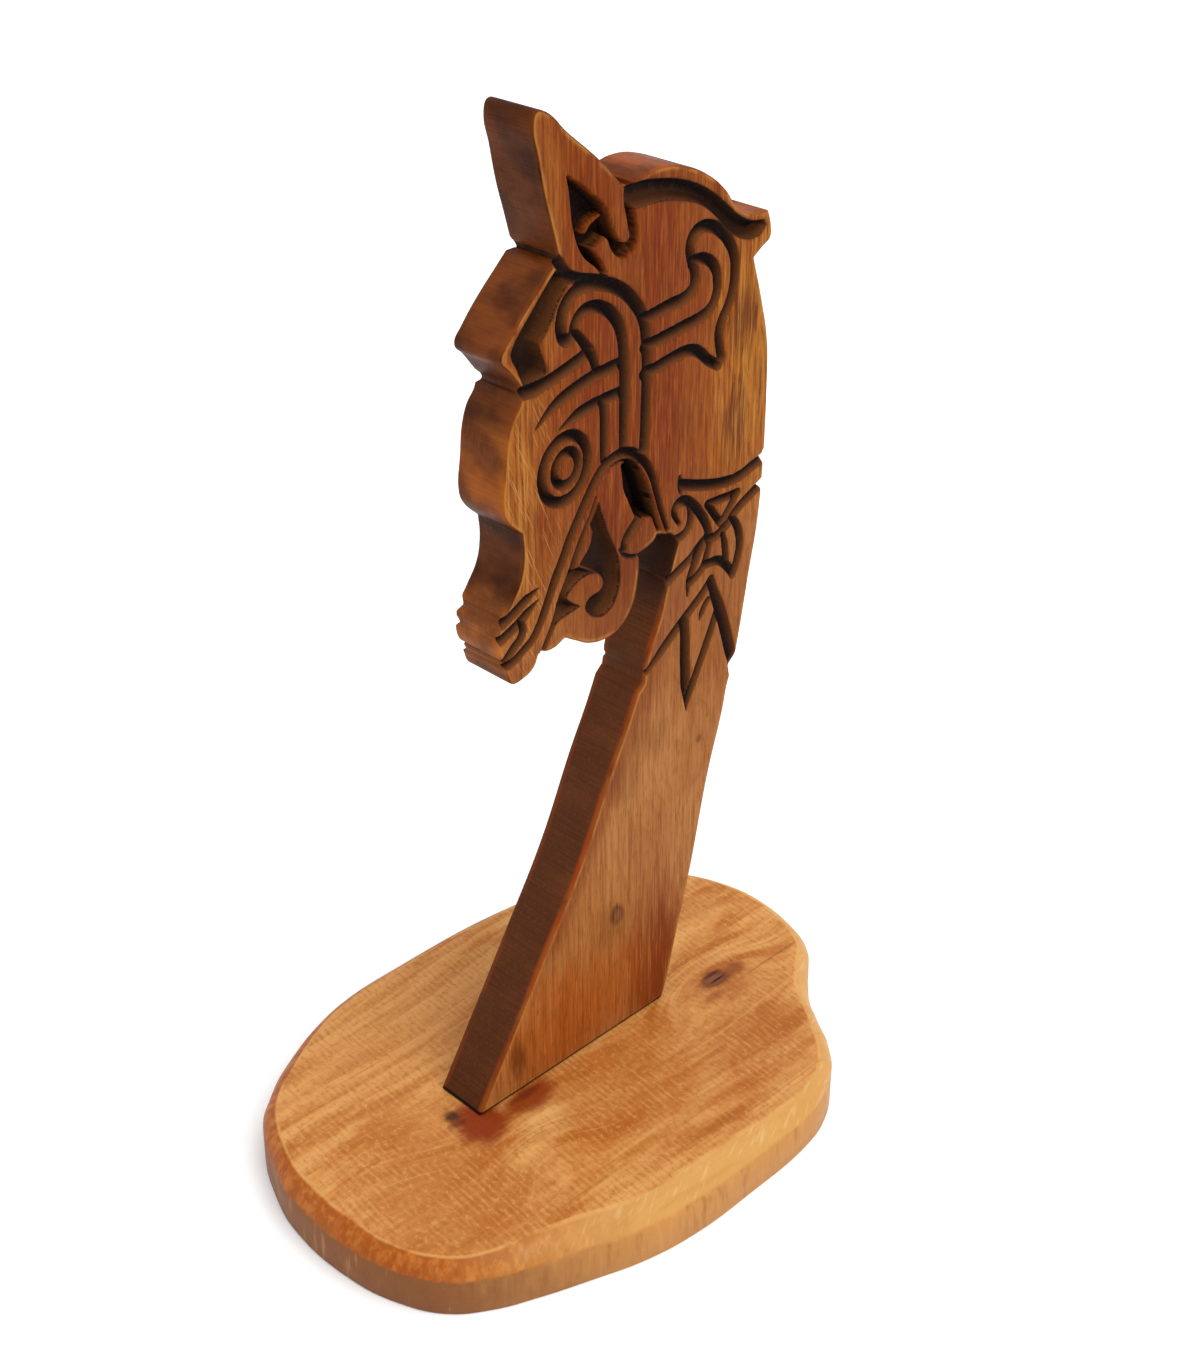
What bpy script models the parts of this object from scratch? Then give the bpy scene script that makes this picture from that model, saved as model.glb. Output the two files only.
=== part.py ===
import math

import bmesh
import bpy
from mathutils import Matrix, Vector

# Driving dimensions of the dragon's board, in metres
BOARD_HEIGHT = 0.414
BOARD_THICKNESS = 0.025
GROOVE_WIDTH = 0.004
GROOVE_DEPTH = 0.0035
CREST_GROOVE_WIDTH = 0.0095
CREST_GROOVE_DEPTH = 0.005
TRENCH_DEPTH = 0.007
MOUTH_DEPTH = 0.001
HOLLOW_DEPTH = 0.009
THROAT_POCKET_DEPTH = 0.0105

# Driving dimensions of the slab that it stands on, and the foot's place on it
SLAB_WIDTH = 0.201
SLAB_LENGTH = 0.286
SLAB_THICKNESS = 0.025
RIM_WIDTH = 0.013
NARROW_RIM_SHARE = 0.5
RIM_FACETS = 3
UNDERSIDE_EASE = 0.001
WIDEST_RIM_SIDE = 0.1
WIDEST_RIM_BACK = -0.04
WIDE_RIM_REACH = 0.085
FOOT_SET_BACK = 0.083
FOOT_SIDE_OFFSET = -0.0059
SEAT_GAP = 0.0003

# The figure is drawn from the side on a sheet DRAWN_HEIGHT units tall: (back from the toe, up from the slab)
DRAWN_HEIGHT = 414
UNIT = BOARD_HEIGHT / DRAWN_HEIGHT
# The slab's edge is drawn from above on a sheet of this width and length, whatever its real size
DRAWN_SLAB = (201, 286)

CORNER = "corner"
OUTLINE_STEPS = 3
STROKE_STEPS = 2
CUTTER_PROUD = 0.0002
POCKET_PROUD = 0.002
SIDE_VIEW = Matrix.Rotation(math.radians(90), 4, "Z") @ Matrix.Rotation(math.radians(90), 4, "X")

FOOT = [(0, 0, CORNER), (110.6, 0, CORNER)]
NAPE = [(113.2, 7), (120, 33), (127.6, 62), (138, 110), (146, 138), (148.3, 149), (151.5, 157.5), (155, 173.3)]
NAPE += [(159.8, 200), (163.4, 219), (165.4, 241), (166, 283), (164.9, 301), (161, 317), (155, 336.4, CORNER)]
HORN = [(159.3, 339.2), (164.3, 342.6), (164.2, 348), (162.3, 353.6, CORNER), (157, 353.7), (150, 355.2)]
HEAD_TOP = [(144, 358.8), (138, 366.3), (128, 374.3), (115, 380.3), (103, 382.6), (93.5, 381.2), (87.5, 377.6, CORNER)]
EAR = [(84, 379, CORNER), (71.2, 391.8), (56.7, 403.7), (44.6, 413.7), (41.4, 413.9), (39.6, 409.8)]
EAR += [(41.7, 398), (44.6, 383.8), (47.3, 374.5), (51, 361.2, CORNER)]
CREST = [(49.5, 360.2, CORNER), (26.3, 337), (22.6, 331), (26.3, 326.4), (32.7, 318, CORNER)]
BROW = [(31.4, 312.4), (27.6, 307.3), (24.9, 300), (23.5, 289), (22.3, 273), (24.5, 268.2), (31, 261.6, CORNER)]
BEAK = [(31.6, 253), (29.7, 243), (24.4, 234.6), (20, 228.4), (18.2, 222), (18.4, 216.4), (20.2, 211.6, CORNER)]
LIP = [(21.6, 206.5), (24.4, 200.8), (30, 200.7), (35.8, 203.4), (39, 209, CORNER)]
JAW = [(44, 208), (52.6, 209.6, CORNER), (58.6, 206), (66, 201.6), (75, 200.2), (83.5, 202.4), (90, 209)]
JAW += [(93.3, 220.5), (94, 231.6, CORNER), (102.7, 233.8, CORNER), (107.6, 236.4, CORNER)]
THROAT = [(115.6, 229.8, CORNER), (110.8, 216.4), (105.4, 197.8), (98.3, 181.2), (96.6, 171, CORNER)]
NECK_FRONT = [(92.8, 167.6, CORNER), (87.4, 155.5), (78.4, 138), (60, 98.8), (38.3, 62.6)]
BOARD_OUTLINE = FOOT + NAPE + HORN + HEAD_TOP + EAR + CREST + BROW + BEAK + LIP + JAW + THROAT + NECK_FRONT

SLAB_OUTLINE = [(-18.2, -142.4), (19, -143.1), (41.8, -137.6), (59.5, -127.7), (71, -113), (78.4, -97.7)]
SLAB_OUTLINE += [(87.5, -74.5), (95.7, -50.4), (99.7, -26.6), (100.4, 3.8), (98, 49), (94.2, 61.6), (87.4, 73.6)]
SLAB_OUTLINE += [(76, 85.8), (62.4, 94.8), (50.6, 103.3), (38.8, 115.8), (28, 129.3), (16.5, 136.9), (-13.9, 143.1)]
SLAB_OUTLINE += [(-34.5, 140.7), (-51.2, 133.6), (-71, 119), (-87, 94), (-97, 52), (-100.3, -14), (-98.6, -49.2)]
SLAB_OUTLINE += [(-91.5, -77.3), (-82.3, -97), (-69.8, -115.5), (-59.8, -125.4), (-38.7, -136.2)]


def drawn_curve(name, points, scale, cyclic, steps):
    """A flat Bezier curve through the drawn points, round at each one that isn't a corner."""
    curve = bpy.data.curves.new(name, "CURVE")
    curve.dimensions = "2D"
    curve.resolution_u = steps
    spline = curve.splines.new("BEZIER")
    spline.bezier_points.add(len(points) - 1)
    spline.use_cyclic_u = cyclic
    for knot, point in zip(spline.bezier_points, points):
        knot.co = (point[0] * scale[0], point[1] * scale[1], 0)
        kind = "VECTOR" if CORNER in point else "AUTO"
        knot.handle_left_type = kind
        knot.handle_right_type = kind
    return curve


def as_mesh_object(curve, matrix, collection):
    """The curve as a mesh object of the same name, each flat cap one face that is welded to the sides."""
    name = curve.name
    drawn = bpy.data.objects.new(name + "_curve", curve)
    drawn.matrix_world = matrix
    bpy.context.scene.collection.objects.link(drawn)
    bpy.context.view_layer.update()
    evaluated = drawn.evaluated_get(bpy.context.evaluated_depsgraph_get())
    mesh = bpy.data.meshes.new_from_object(evaluated)
    mesh.name = name
    welded = bmesh.new()
    welded.from_mesh(mesh)
    bmesh.ops.remove_doubles(welded, verts=welded.verts, dist=0.00001)
    bmesh.ops.recalc_face_normals(welded, faces=welded.faces)
    for side in (-1, 1):
        cap = [face for face in welded.faces if face.normal.z * side > 0.999]
        if len(cap) > 1:
            bmesh.ops.dissolve_faces(welded, faces=cap)
    welded.to_mesh(mesh)
    welded.free()
    made = bpy.data.objects.new(name, mesh)
    made.matrix_world = drawn.matrix_world
    collection.objects.link(made)
    bpy.data.objects.remove(drawn)
    return made


def wood(name, color, roughness):
    material = bpy.data.materials.new(name)
    material.use_nodes = True
    shader = material.node_tree.nodes["Principled BSDF"]
    shader.inputs["Base Color"].default_value = (*color, 1)
    shader.inputs["Roughness"].default_value = roughness
    shader.inputs["Metallic"].default_value = 0
    return material


class Carver:
    """Cuts the right-hand face of the board; the finished half is mirrored to the left-hand one."""

    def __init__(self, board_matrix, collection):
        self.board_matrix = board_matrix
        self.collection = collection

    def keep(self, curve, depth_offset, depth_scale=1):
        face = Matrix.Translation((0, 0, BOARD_THICKNESS / 2 + depth_offset))
        cutter = as_mesh_object(curve, self.board_matrix @ face, self.collection)
        cutter.data.transform(Matrix.Diagonal((1, 1, depth_scale, 1)))
        cutter.hide_render = True
        cutter.display_type = "WIRE"

    def groove(self, name, points, width=GROOVE_WIDTH, depth=GROOVE_DEPTH, ends=(1, 1), cyclic=False):
        """A V-shaped groove along the points; ends gives the share of its width left at each end."""
        curve = drawn_curve(name, points, (UNIT, UNIT), cyclic, STROKE_STEPS)
        curve.bevel_depth = width / 2
        curve.bevel_resolution = 0
        curve.use_fill_caps = not cyclic
        knots = curve.splines[0].bezier_points
        knots[0].radius = ends[0]
        knots[-1].radius = ends[1]
        self.keep(curve, CUTTER_PROUD, depth / (width / 2))

    def ring(self, name, centre, half_height, half_width, lean, count):
        """A closed groove along an ellipse that leans back by so many degrees."""
        turn = Matrix.Rotation(math.radians(-lean), 2)
        points = []
        for step in range(count):
            angle = math.tau * step / count
            offset = turn @ Vector((half_width * math.cos(angle), half_height * math.sin(angle)))
            points.append((centre[0] + offset.x, centre[1] + offset.y))
        self.groove(name, points, cyclic=True)

    def pocket(self, name, points, depth):
        """A flat-bottomed hollow inside the outline that the points draw."""
        curve = drawn_curve(name, points, (UNIT, UNIT), True, STROKE_STEPS)
        curve.fill_mode = "BOTH"
        curve.extrude = (depth + POCKET_PROUD) / 2
        self.keep(curve, (POCKET_PROUD - depth) / 2)


def carve_ear(carver):
    inner_ear = [(55.8, 389.5, CORNER), (66.2, 383.2), (72.2, 376.8), (75.2, 370.5), (76, 365.5, CORNER)]
    inner_ear += [(68.5, 361.2, CORNER), (62.3, 360.5, CORNER), (59.6, 366), (57.3, 378)]
    carver.pocket("inner_ear", inner_ear, GROOVE_DEPTH)
    above_ridge = [(56.4, 388, CORNER), (66, 382.3), (71.6, 376.2, CORNER), (61, 369.4, CORNER), (57.9, 375)]
    carver.pocket("inner_ear_above_ridge", above_ridge, HOLLOW_DEPTH)
    below_ridge = [(62.3, 366.6, CORNER), (72.7, 372.7, CORNER), (75, 365.8, CORNER), (68.4, 362, CORNER), (62.8, 361.4)]
    carver.pocket("inner_ear_below_ridge", below_ridge, HOLLOW_DEPTH)
    carver.groove("round_strand", [(74.6, 366), (77.4, 359), (82, 355.6), (87.3, 357.2), (89, 363), (87, 374.5)])
    carver.groove("behind_ear_band", [(61, 364), (66.1, 357.4), (74, 349.8)])
    carver.groove("under_ear", [(48.5, 362.2), (53.3, 356), (62, 351.6), (70, 349)])


def carve_crest(carver):
    trench = [(52.8, 356.9, CORNER), (45.6, 353), (39, 348.3), (33.4, 341.5), (28.8, 333.6, CORNER), (31.6, 325)]
    trench += [(36.1, 317.8, CORNER), (45, 320.4, CORNER), (43.6, 327), (40.7, 332.3, CORNER), (47.8, 344.3)]
    trench += [(56.4, 352.6, CORNER)]
    carver.pocket("trench_behind_crest", trench, TRENCH_DEPTH)
    crest_line = [(84.5, 373.5), (99, 374.2), (114.6, 371.3), (129.4, 364.8), (145.7, 350.1), (153.5, 346.4), (160.5, 347)]
    carver.groove("crest_line", crest_line, CREST_GROOVE_WIDTH, CREST_GROOVE_DEPTH, ends=(1, 0.55))


def carve_head_knot(carver):
    outer_arch = [(58, 332.2), (54.9, 330.2), (51.6, 333), (51.4, 340.5), (56.5, 346.8), (65, 348.8), (77, 345.2)]
    outer_arch += [(88.5, 336), (94.6, 322), (95, 295), (94.2, 277)]
    carver.groove("outer_arch", outer_arch)
    inner_arch = [(57.6, 332.4), (60.3, 338), (67, 340), (76, 335.4), (82.2, 324), (83.4, 305), (82.9, 278.5)]
    carver.groove("inner_arch", inner_arch)
    carver.groove("arch_slant", [(58.2, 333), (64.4, 325.4), (68.9, 314.5)])
    carver.groove("first_sweep", [(33.4, 316.6), (47, 318.2), (65, 323.6)])
    carver.groove("second_sweep", [(39.2, 302.1), (50.7, 309), (66, 313.1), (82.6, 314.6)], ends=(0.3, 1))
    carver.groove("third_sweep", [(50.6, 297.8), (62, 301.6), (82.6, 303.2)], ends=(0.3, 1))
    carver.groove("upright", [(72.6, 302.4), (72.6, 279)])
    loop = [(94.6, 328.4), (107, 330.2), (118.5, 332.4), (120.8, 339), (118.2, 347.5), (121.8, 354.7), (131.5, 353.6)]
    loop += [(141.2, 344.4), (143.2, 331.5), (137.6, 317.6), (135.3, 309.5), (137.2, 301)]
    carver.groove("outer_loop", loop)
    inner_loop = [(119.6, 343.4), (127.5, 342.8), (133.4, 333), (129.6, 323.2), (115, 319.8), (94.2, 317.3)]
    carver.groove("inner_loop", inner_loop)
    carver.groove("loop_tail", [(94.4, 306.6), (107, 308.4), (119.5, 309.2), (127, 304.9), (133.6, 299.4)])


def carve_eye(carver):
    carver.ring("eye_outer_ring", (52.6, 281.2), 13.2, 11.9, 20, 10)
    carver.ring("eye_inner_ring", (53.3, 281.3), 6.3, 5.9, 20, 8)


def carve_mouth(carver):
    cheek = [(17.5, 210.4), (29.5, 212.8), (38.5, 221), (51, 246), (66.5, 269.3), (75, 277.4), (86, 277.8), (96.5, 269.4)]
    cheek += [(104.6, 251), (110.4, 232.5)]
    carver.groove("cheek_line", cheek)
    opening = [(42, 207, CORNER), (46.2, 218), (54.5, 236.5), (65, 255.5), (73.2, 268.8), (81, 273.2), (89, 271)]
    opening += [(96.5, 259.5), (104.4, 238, CORNER), (104.4, 231, CORNER), (94.4, 231, CORNER), (96, 198, CORNER)]
    opening += [(58, 198, CORNER)]
    carver.pocket("mouth", opening, MOUTH_DEPTH)
    carver.groove("lip_line", [(42.6, 206.5), (47.2, 218), (56.5, 238), (68.5, 259.5)], depth=MOUTH_DEPTH + GROOVE_DEPTH)
    ground = [(71, 266, CORNER), (70.8, 258), (76.4, 244.6), (81.4, 233), (80.6, 217.5), (71, 211.9), (63.6, 219.4)]
    ground += [(72.2, 224.4), (69.8, 232), (60, 235.6), (53.5, 230), (55.5, 236.4, CORNER), (63.5, 251)]
    carver.pocket("mouth_ground", ground, HOLLOW_DEPTH)
    throat = [(85, 271.4, CORNER), (90.5, 269), (95.5, 260.6), (98.5, 248.9), (93, 246.4), (89, 252.8), (84.4, 264.5)]
    carver.pocket("throat_pocket", throat, THROAT_POCKET_DEPTH)
    carver.groove("between_lobes", [(94, 246), (88.8, 241.4), (80.5, 237.4)], depth=MOUTH_DEPTH + GROOVE_DEPTH)


def carve_beak(carver):
    carver.groove("nostril", [(37.8, 236.9), (27, 232.2), (16.5, 228)], ends=(0.3, 1))
    carver.groove("upper_lip_fold", [(37.6, 231.6), (27, 226), (15.5, 222.2)], ends=(0.3, 1))
    carver.groove("lower_lip_fold", [(29, 227), (28.6, 220.4), (20, 212.4)])


def carve_neck(carver):
    carver.groove("collar_upper", [(168, 251.5), (157, 248.1), (143, 246.2), (116, 253.9)])
    carver.groove("collar_end", [(115, 257.4), (115.8, 250.6)], GROOVE_WIDTH * 0.7)
    carver.groove("collar_lower", [(168, 240.4), (156, 235.2), (144.2, 227), (133.4, 223.6)])
    carver.groove("hook", [(114.4, 239.4), (111.9, 244.4), (117.4, 246.9), (126, 239.6), (133.8, 223)], ends=(0.3, 1))
    carver.groove("hook_root", [(119.6, 245.4), (121.9, 238), (117.5, 231.4), (110, 231.6)])
    triangle = [(132, 240, CORNER), (149.4, 239.2, CORNER), (139.9, 229.4, CORNER)]
    carver.groove("triangle", triangle, GROOVE_WIDTH * 0.75, cyclic=True)
    carver.groove("long_leaf", [(132, 226.4), (120, 218.4), (104, 211)])
    carver.groove("short_leaf", [(130.6, 225), (124.2, 215), (121.2, 202.6)], ends=(1, 0.3))
    carver.groove("leaf_edge", [(133.8, 223), (130.4, 213), (122, 207)])
    carver.groove("leaf_arc", [(130.4, 212.6), (140.6, 212.6), (148.4, 202.8)])
    carver.groove("leaf_rib", [(141.8, 224), (143.6, 211.4)])
    carver.groove("leaf_back", [(147.8, 230), (152.4, 217), (148.4, 202.8)])
    carver.groove("blade_front", [(135, 205), (117.2, 191.5), (91.5, 171.5)])
    carver.groove("blade_back", [(135, 205), (142.4, 182), (150.4, 152)], GROOVE_WIDTH * 1.25)
    carver.groove("blade_middle", [(119.6, 192.2), (120.2, 172), (121.8, 148.5)], GROOVE_WIDTH * 1.25, ends=(1, 0.3))
    carver.groove("blade_rib", [(121.8, 152), (129.5, 168.5), (138.8, 188)])
    carver.groove("blade_nick", [(133.4, 196), (128.8, 188.4)], ends=(1, 0.3))


def make_board(collection, cutters):
    foot_place = Vector((FOOT_SIDE_OFFSET, FOOT_SET_BACK - SLAB_LENGTH / 2, SLAB_THICKNESS + SEAT_GAP))
    board_matrix = Matrix.Translation(foot_place) @ SIDE_VIEW
    curve = drawn_curve("dragon_board", BOARD_OUTLINE, (UNIT, UNIT), True, OUTLINE_STEPS)
    curve.fill_mode = "BOTH"
    curve.extrude = BOARD_THICKNESS / 2
    board = as_mesh_object(curve, board_matrix, collection)
    carver = Carver(board_matrix, cutters)
    for carve in (carve_ear, carve_crest, carve_head_knot, carve_eye, carve_mouth, carve_beak, carve_neck):
        carve(carver)
    carving = board.modifiers.new("carving", "BOOLEAN")
    carving.operand_type = "COLLECTION"
    carving.collection = cutters
    carving.operation = "DIFFERENCE"
    carving.solver = "EXACT"
    carving.use_self = True
    mirror = board.modifiers.new("left_face", "MIRROR")
    mirror.use_axis = (False, False, True)
    mirror.use_bisect_axis = (False, False, True)
    mirror.merge_threshold = 0.00001
    board.data.materials.append(wood("oiled_redwood", (0.36, 0.13, 0.04), 0.45))
    return board


def make_slab(collection):
    scale = (SLAB_WIDTH / DRAWN_SLAB[0], SLAB_LENGTH / DRAWN_SLAB[1])
    curve = drawn_curve("base_slab", SLAB_OUTLINE, scale, True, OUTLINE_STEPS)
    curve.fill_mode = "BOTH"
    curve.extrude = SLAB_THICKNESS / 2
    slab = as_mesh_object(curve, Matrix.Translation((0, 0, SLAB_THICKNESS / 2)), collection)
    place_in_box(slab.data)
    body = bmesh.new()
    body.from_mesh(slab.data)
    caps = sorted((face for face in body.faces if abs(face.normal.z) > 0.999), key=lambda face: face.normal.z)
    wear_edge(body, caps[0], [UNDERSIDE_EASE] * len(caps[0].verts), 1)
    wear_edge(body, caps[1], [rim_width_at(vert.co) for vert in caps[1].verts], RIM_FACETS)
    body.to_mesh(slab.data)
    body.free()
    slab.data.materials.append(wood("pale_slab", (0.55, 0.27, 0.09), 0.5))
    slab.data.shade_smooth()
    slab.data.set_sharp_from_angle(angle=math.radians(35))
    return slab


def place_in_box(mesh):
    """Brings the drawn edge to exactly the slab's width and length, centred on the origin."""
    low = [min(v.co[axis] for v in mesh.vertices) for axis in (0, 1)]
    high = [max(v.co[axis] for v in mesh.vertices) for axis in (0, 1)]
    for vertex in mesh.vertices:
        for axis, side in enumerate((SLAB_WIDTH, SLAB_LENGTH)):
            vertex.co[axis] = ((vertex.co[axis] - low[axis]) / (high[axis] - low[axis]) - 0.5) * side


def rim_width_at(place):
    """The worn rim is full width at one place on the right-hand edge and narrows away from it."""
    away = (place.xy - Vector((WIDEST_RIM_SIDE, WIDEST_RIM_BACK))).length / WIDE_RIM_REACH
    return RIM_WIDTH * (NARROW_RIM_SHARE + (1 - NARROW_RIM_SHARE) * max(0, 1 - away ** 2))


def wear_edge(body, cap, widths, facets):
    """Rounds the edge of a flat cap over in facets, as wide at each point as the widths say."""
    facing = Vector((0, 0, round(cap.normal.z)))
    edge = [vert.co.copy() for vert in cap.verts]
    for facet in range(facets + 1):
        if facet:
            cap = bmesh.ops.extrude_discrete_faces(body, faces=[cap])["faces"][0]
        angle = math.pi / 2 * facet / facets
        for i, vert in enumerate(cap.verts):
            along = edge[(i + 1) % len(edge)] - edge[i - 1]
            inward = facing.cross(along).normalized()
            vert.co = edge[i] + widths[i] * (inward * (1 - math.cos(angle)) - facing * (1 - math.sin(angle)))


def main():
    for thing in list(bpy.data.objects):
        bpy.data.objects.remove(thing)
    parts = bpy.data.collections.new("dragon_head_sculpture")
    cutters = bpy.data.collections.new("cutters")
    for collection in (parts, cutters):
        bpy.context.scene.collection.children.link(collection)
    make_slab(parts)
    make_board(parts, cutters)


main()
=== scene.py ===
import math

import bmesh
import bpy
import numpy as np
from mathutils import Matrix, Vector


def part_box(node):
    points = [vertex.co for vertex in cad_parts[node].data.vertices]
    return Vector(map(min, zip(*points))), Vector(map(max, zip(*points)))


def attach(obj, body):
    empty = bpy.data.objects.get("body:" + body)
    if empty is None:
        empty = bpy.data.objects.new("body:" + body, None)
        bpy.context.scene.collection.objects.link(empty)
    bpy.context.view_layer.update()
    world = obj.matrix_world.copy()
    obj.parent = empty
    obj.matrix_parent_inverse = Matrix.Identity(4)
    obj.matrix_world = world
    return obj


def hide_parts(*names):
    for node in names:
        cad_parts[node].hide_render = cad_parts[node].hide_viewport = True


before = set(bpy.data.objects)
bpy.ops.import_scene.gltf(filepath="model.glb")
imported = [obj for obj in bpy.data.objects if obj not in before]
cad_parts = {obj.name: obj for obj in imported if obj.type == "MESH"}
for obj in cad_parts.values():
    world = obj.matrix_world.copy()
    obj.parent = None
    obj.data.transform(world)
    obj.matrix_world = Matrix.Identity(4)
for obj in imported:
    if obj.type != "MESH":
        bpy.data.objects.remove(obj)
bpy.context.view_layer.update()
mm = 0.001
corner = "corner"

# where the finished board stands: its drawing starts at the toe, on the slab, half way through the board
boardLow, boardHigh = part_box("dragon_board")
slabLow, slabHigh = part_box("base_slab")
boardMiddle = (boardLow[0] + boardHigh[0]) / 2
halfBoard = (boardHigh[0] - boardLow[0]) / 2
toe = Vector((boardMiddle, boardLow[1], boardLow[2]))

sensorSize = 36               # mm, along the frame's long side
studio = {
    "azimuth": 45.0,          # degrees, the camera stands to the right of the dragon's nose
    "elevation": 30.4,
    "lens": 54.68,
    "depth": 0.860,           # metres along the view to the toe's near corner
    "toePixel": (480.5, 1117.2),
    "frameSize": (1200, 1347),
    "skyStrength": 1.0,
    "sunStrength": 2.1,
    "sunSpread": 55.0,        # degrees, a wide soft light from above, right and behind
    "sunFrom": (0.75, 0.20, 1.25),
    "floorTone": 0.88,
}

boardLook = {
    "voxel": 0.00050,         # metres, the fineness of the carving
    "quickVoxel": 0.00090,
    "edgeRound": 0.0009,      # metres, the sawn outline's worn edges
    "triangles": 188000,
    "lipWear": 0.18,          # mm, rounding beside a cut
    "ripple": 0.10,           # mm, sanding unevenness of the flat faces
    "knife": 0.30,            # mm, unevenness in the cuts
}

foot = [(0, 0, corner), (110.6, 0, corner)]
nape = [
    (113.2, 7), (120, 33), (127.6, 62), (138, 110), (146, 138), (148.3, 149), (151.5, 157.5), (155, 173.3)]
nape += [(159.8, 200), (163.4, 219), (165.4, 241), (166, 283), (164.9, 301), (161, 317), (155, 336.4, corner)]
horn = [(159.3, 339.2), (164.3, 342.6), (164.2, 348), (162.3, 353.6, corner), (157, 353.7), (150, 355.2)]
headTop = [
    (144, 358.8), (138, 366.3), (128, 374.3), (115, 380.3), (103, 382.6), (93.5, 381.2),
    (87.5, 377.6, corner)]
ear = [(84, 379, corner), (71.2, 391.8), (56.7, 403.7), (44.6, 413.7), (41.4, 413.9), (39.6, 409.8)]
ear += [(41.7, 398), (44.6, 383.8), (47.3, 374.5), (51, 361.2, corner)]
crest = [(49.5, 360.2, corner), (26.3, 337), (22.6, 331), (26.3, 326.4), (32.7, 318, corner)]
brow = [
    (31.4, 312.4), (27.6, 307.3), (24.9, 300), (23.5, 289), (22.3, 273), (24.5, 268.2),
    (31, 261.6, corner)]
beak = [
    (31.6, 253), (29.7, 243), (24.4, 234.6), (20, 228.4), (18.2, 222), (18.4, 216.4),
    (20.2, 211.6, corner)]
lip = [(21.6, 206.5), (24.4, 200.8), (30, 200.7), (35.8, 203.4), (38.6, 208.4, corner)]
jaw = [
    (41.9, 207.6), (47.7, 207.4), (53, 209.5, corner), (58.6, 206), (66, 201.9), (75, 200.2),
    (83.5, 202.4), (90, 209)]
jaw += [
    (93.3, 220.5), (93.6, 231.4, corner), (96.5, 231.9), (99.9, 232.7), (102.6, 234.1),
    (103.8, 235.8, corner)]
jaw += [(107.0, 234.8), (109.8, 234.4, corner)]
throat = [(115.6, 229.8, corner), (110.8, 216.4), (105.4, 197.8), (98.3, 181.2), (96.6, 171, corner)]
neckFront = [(92.8, 167.6, corner), (87.4, 155.5), (78.4, 138), (60, 98.8), (38.3, 62.6)]
boardOutline = foot + nape + horn + headTop + ear + crest + brow + beak + lip + jaw + throat + neckFront

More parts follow.
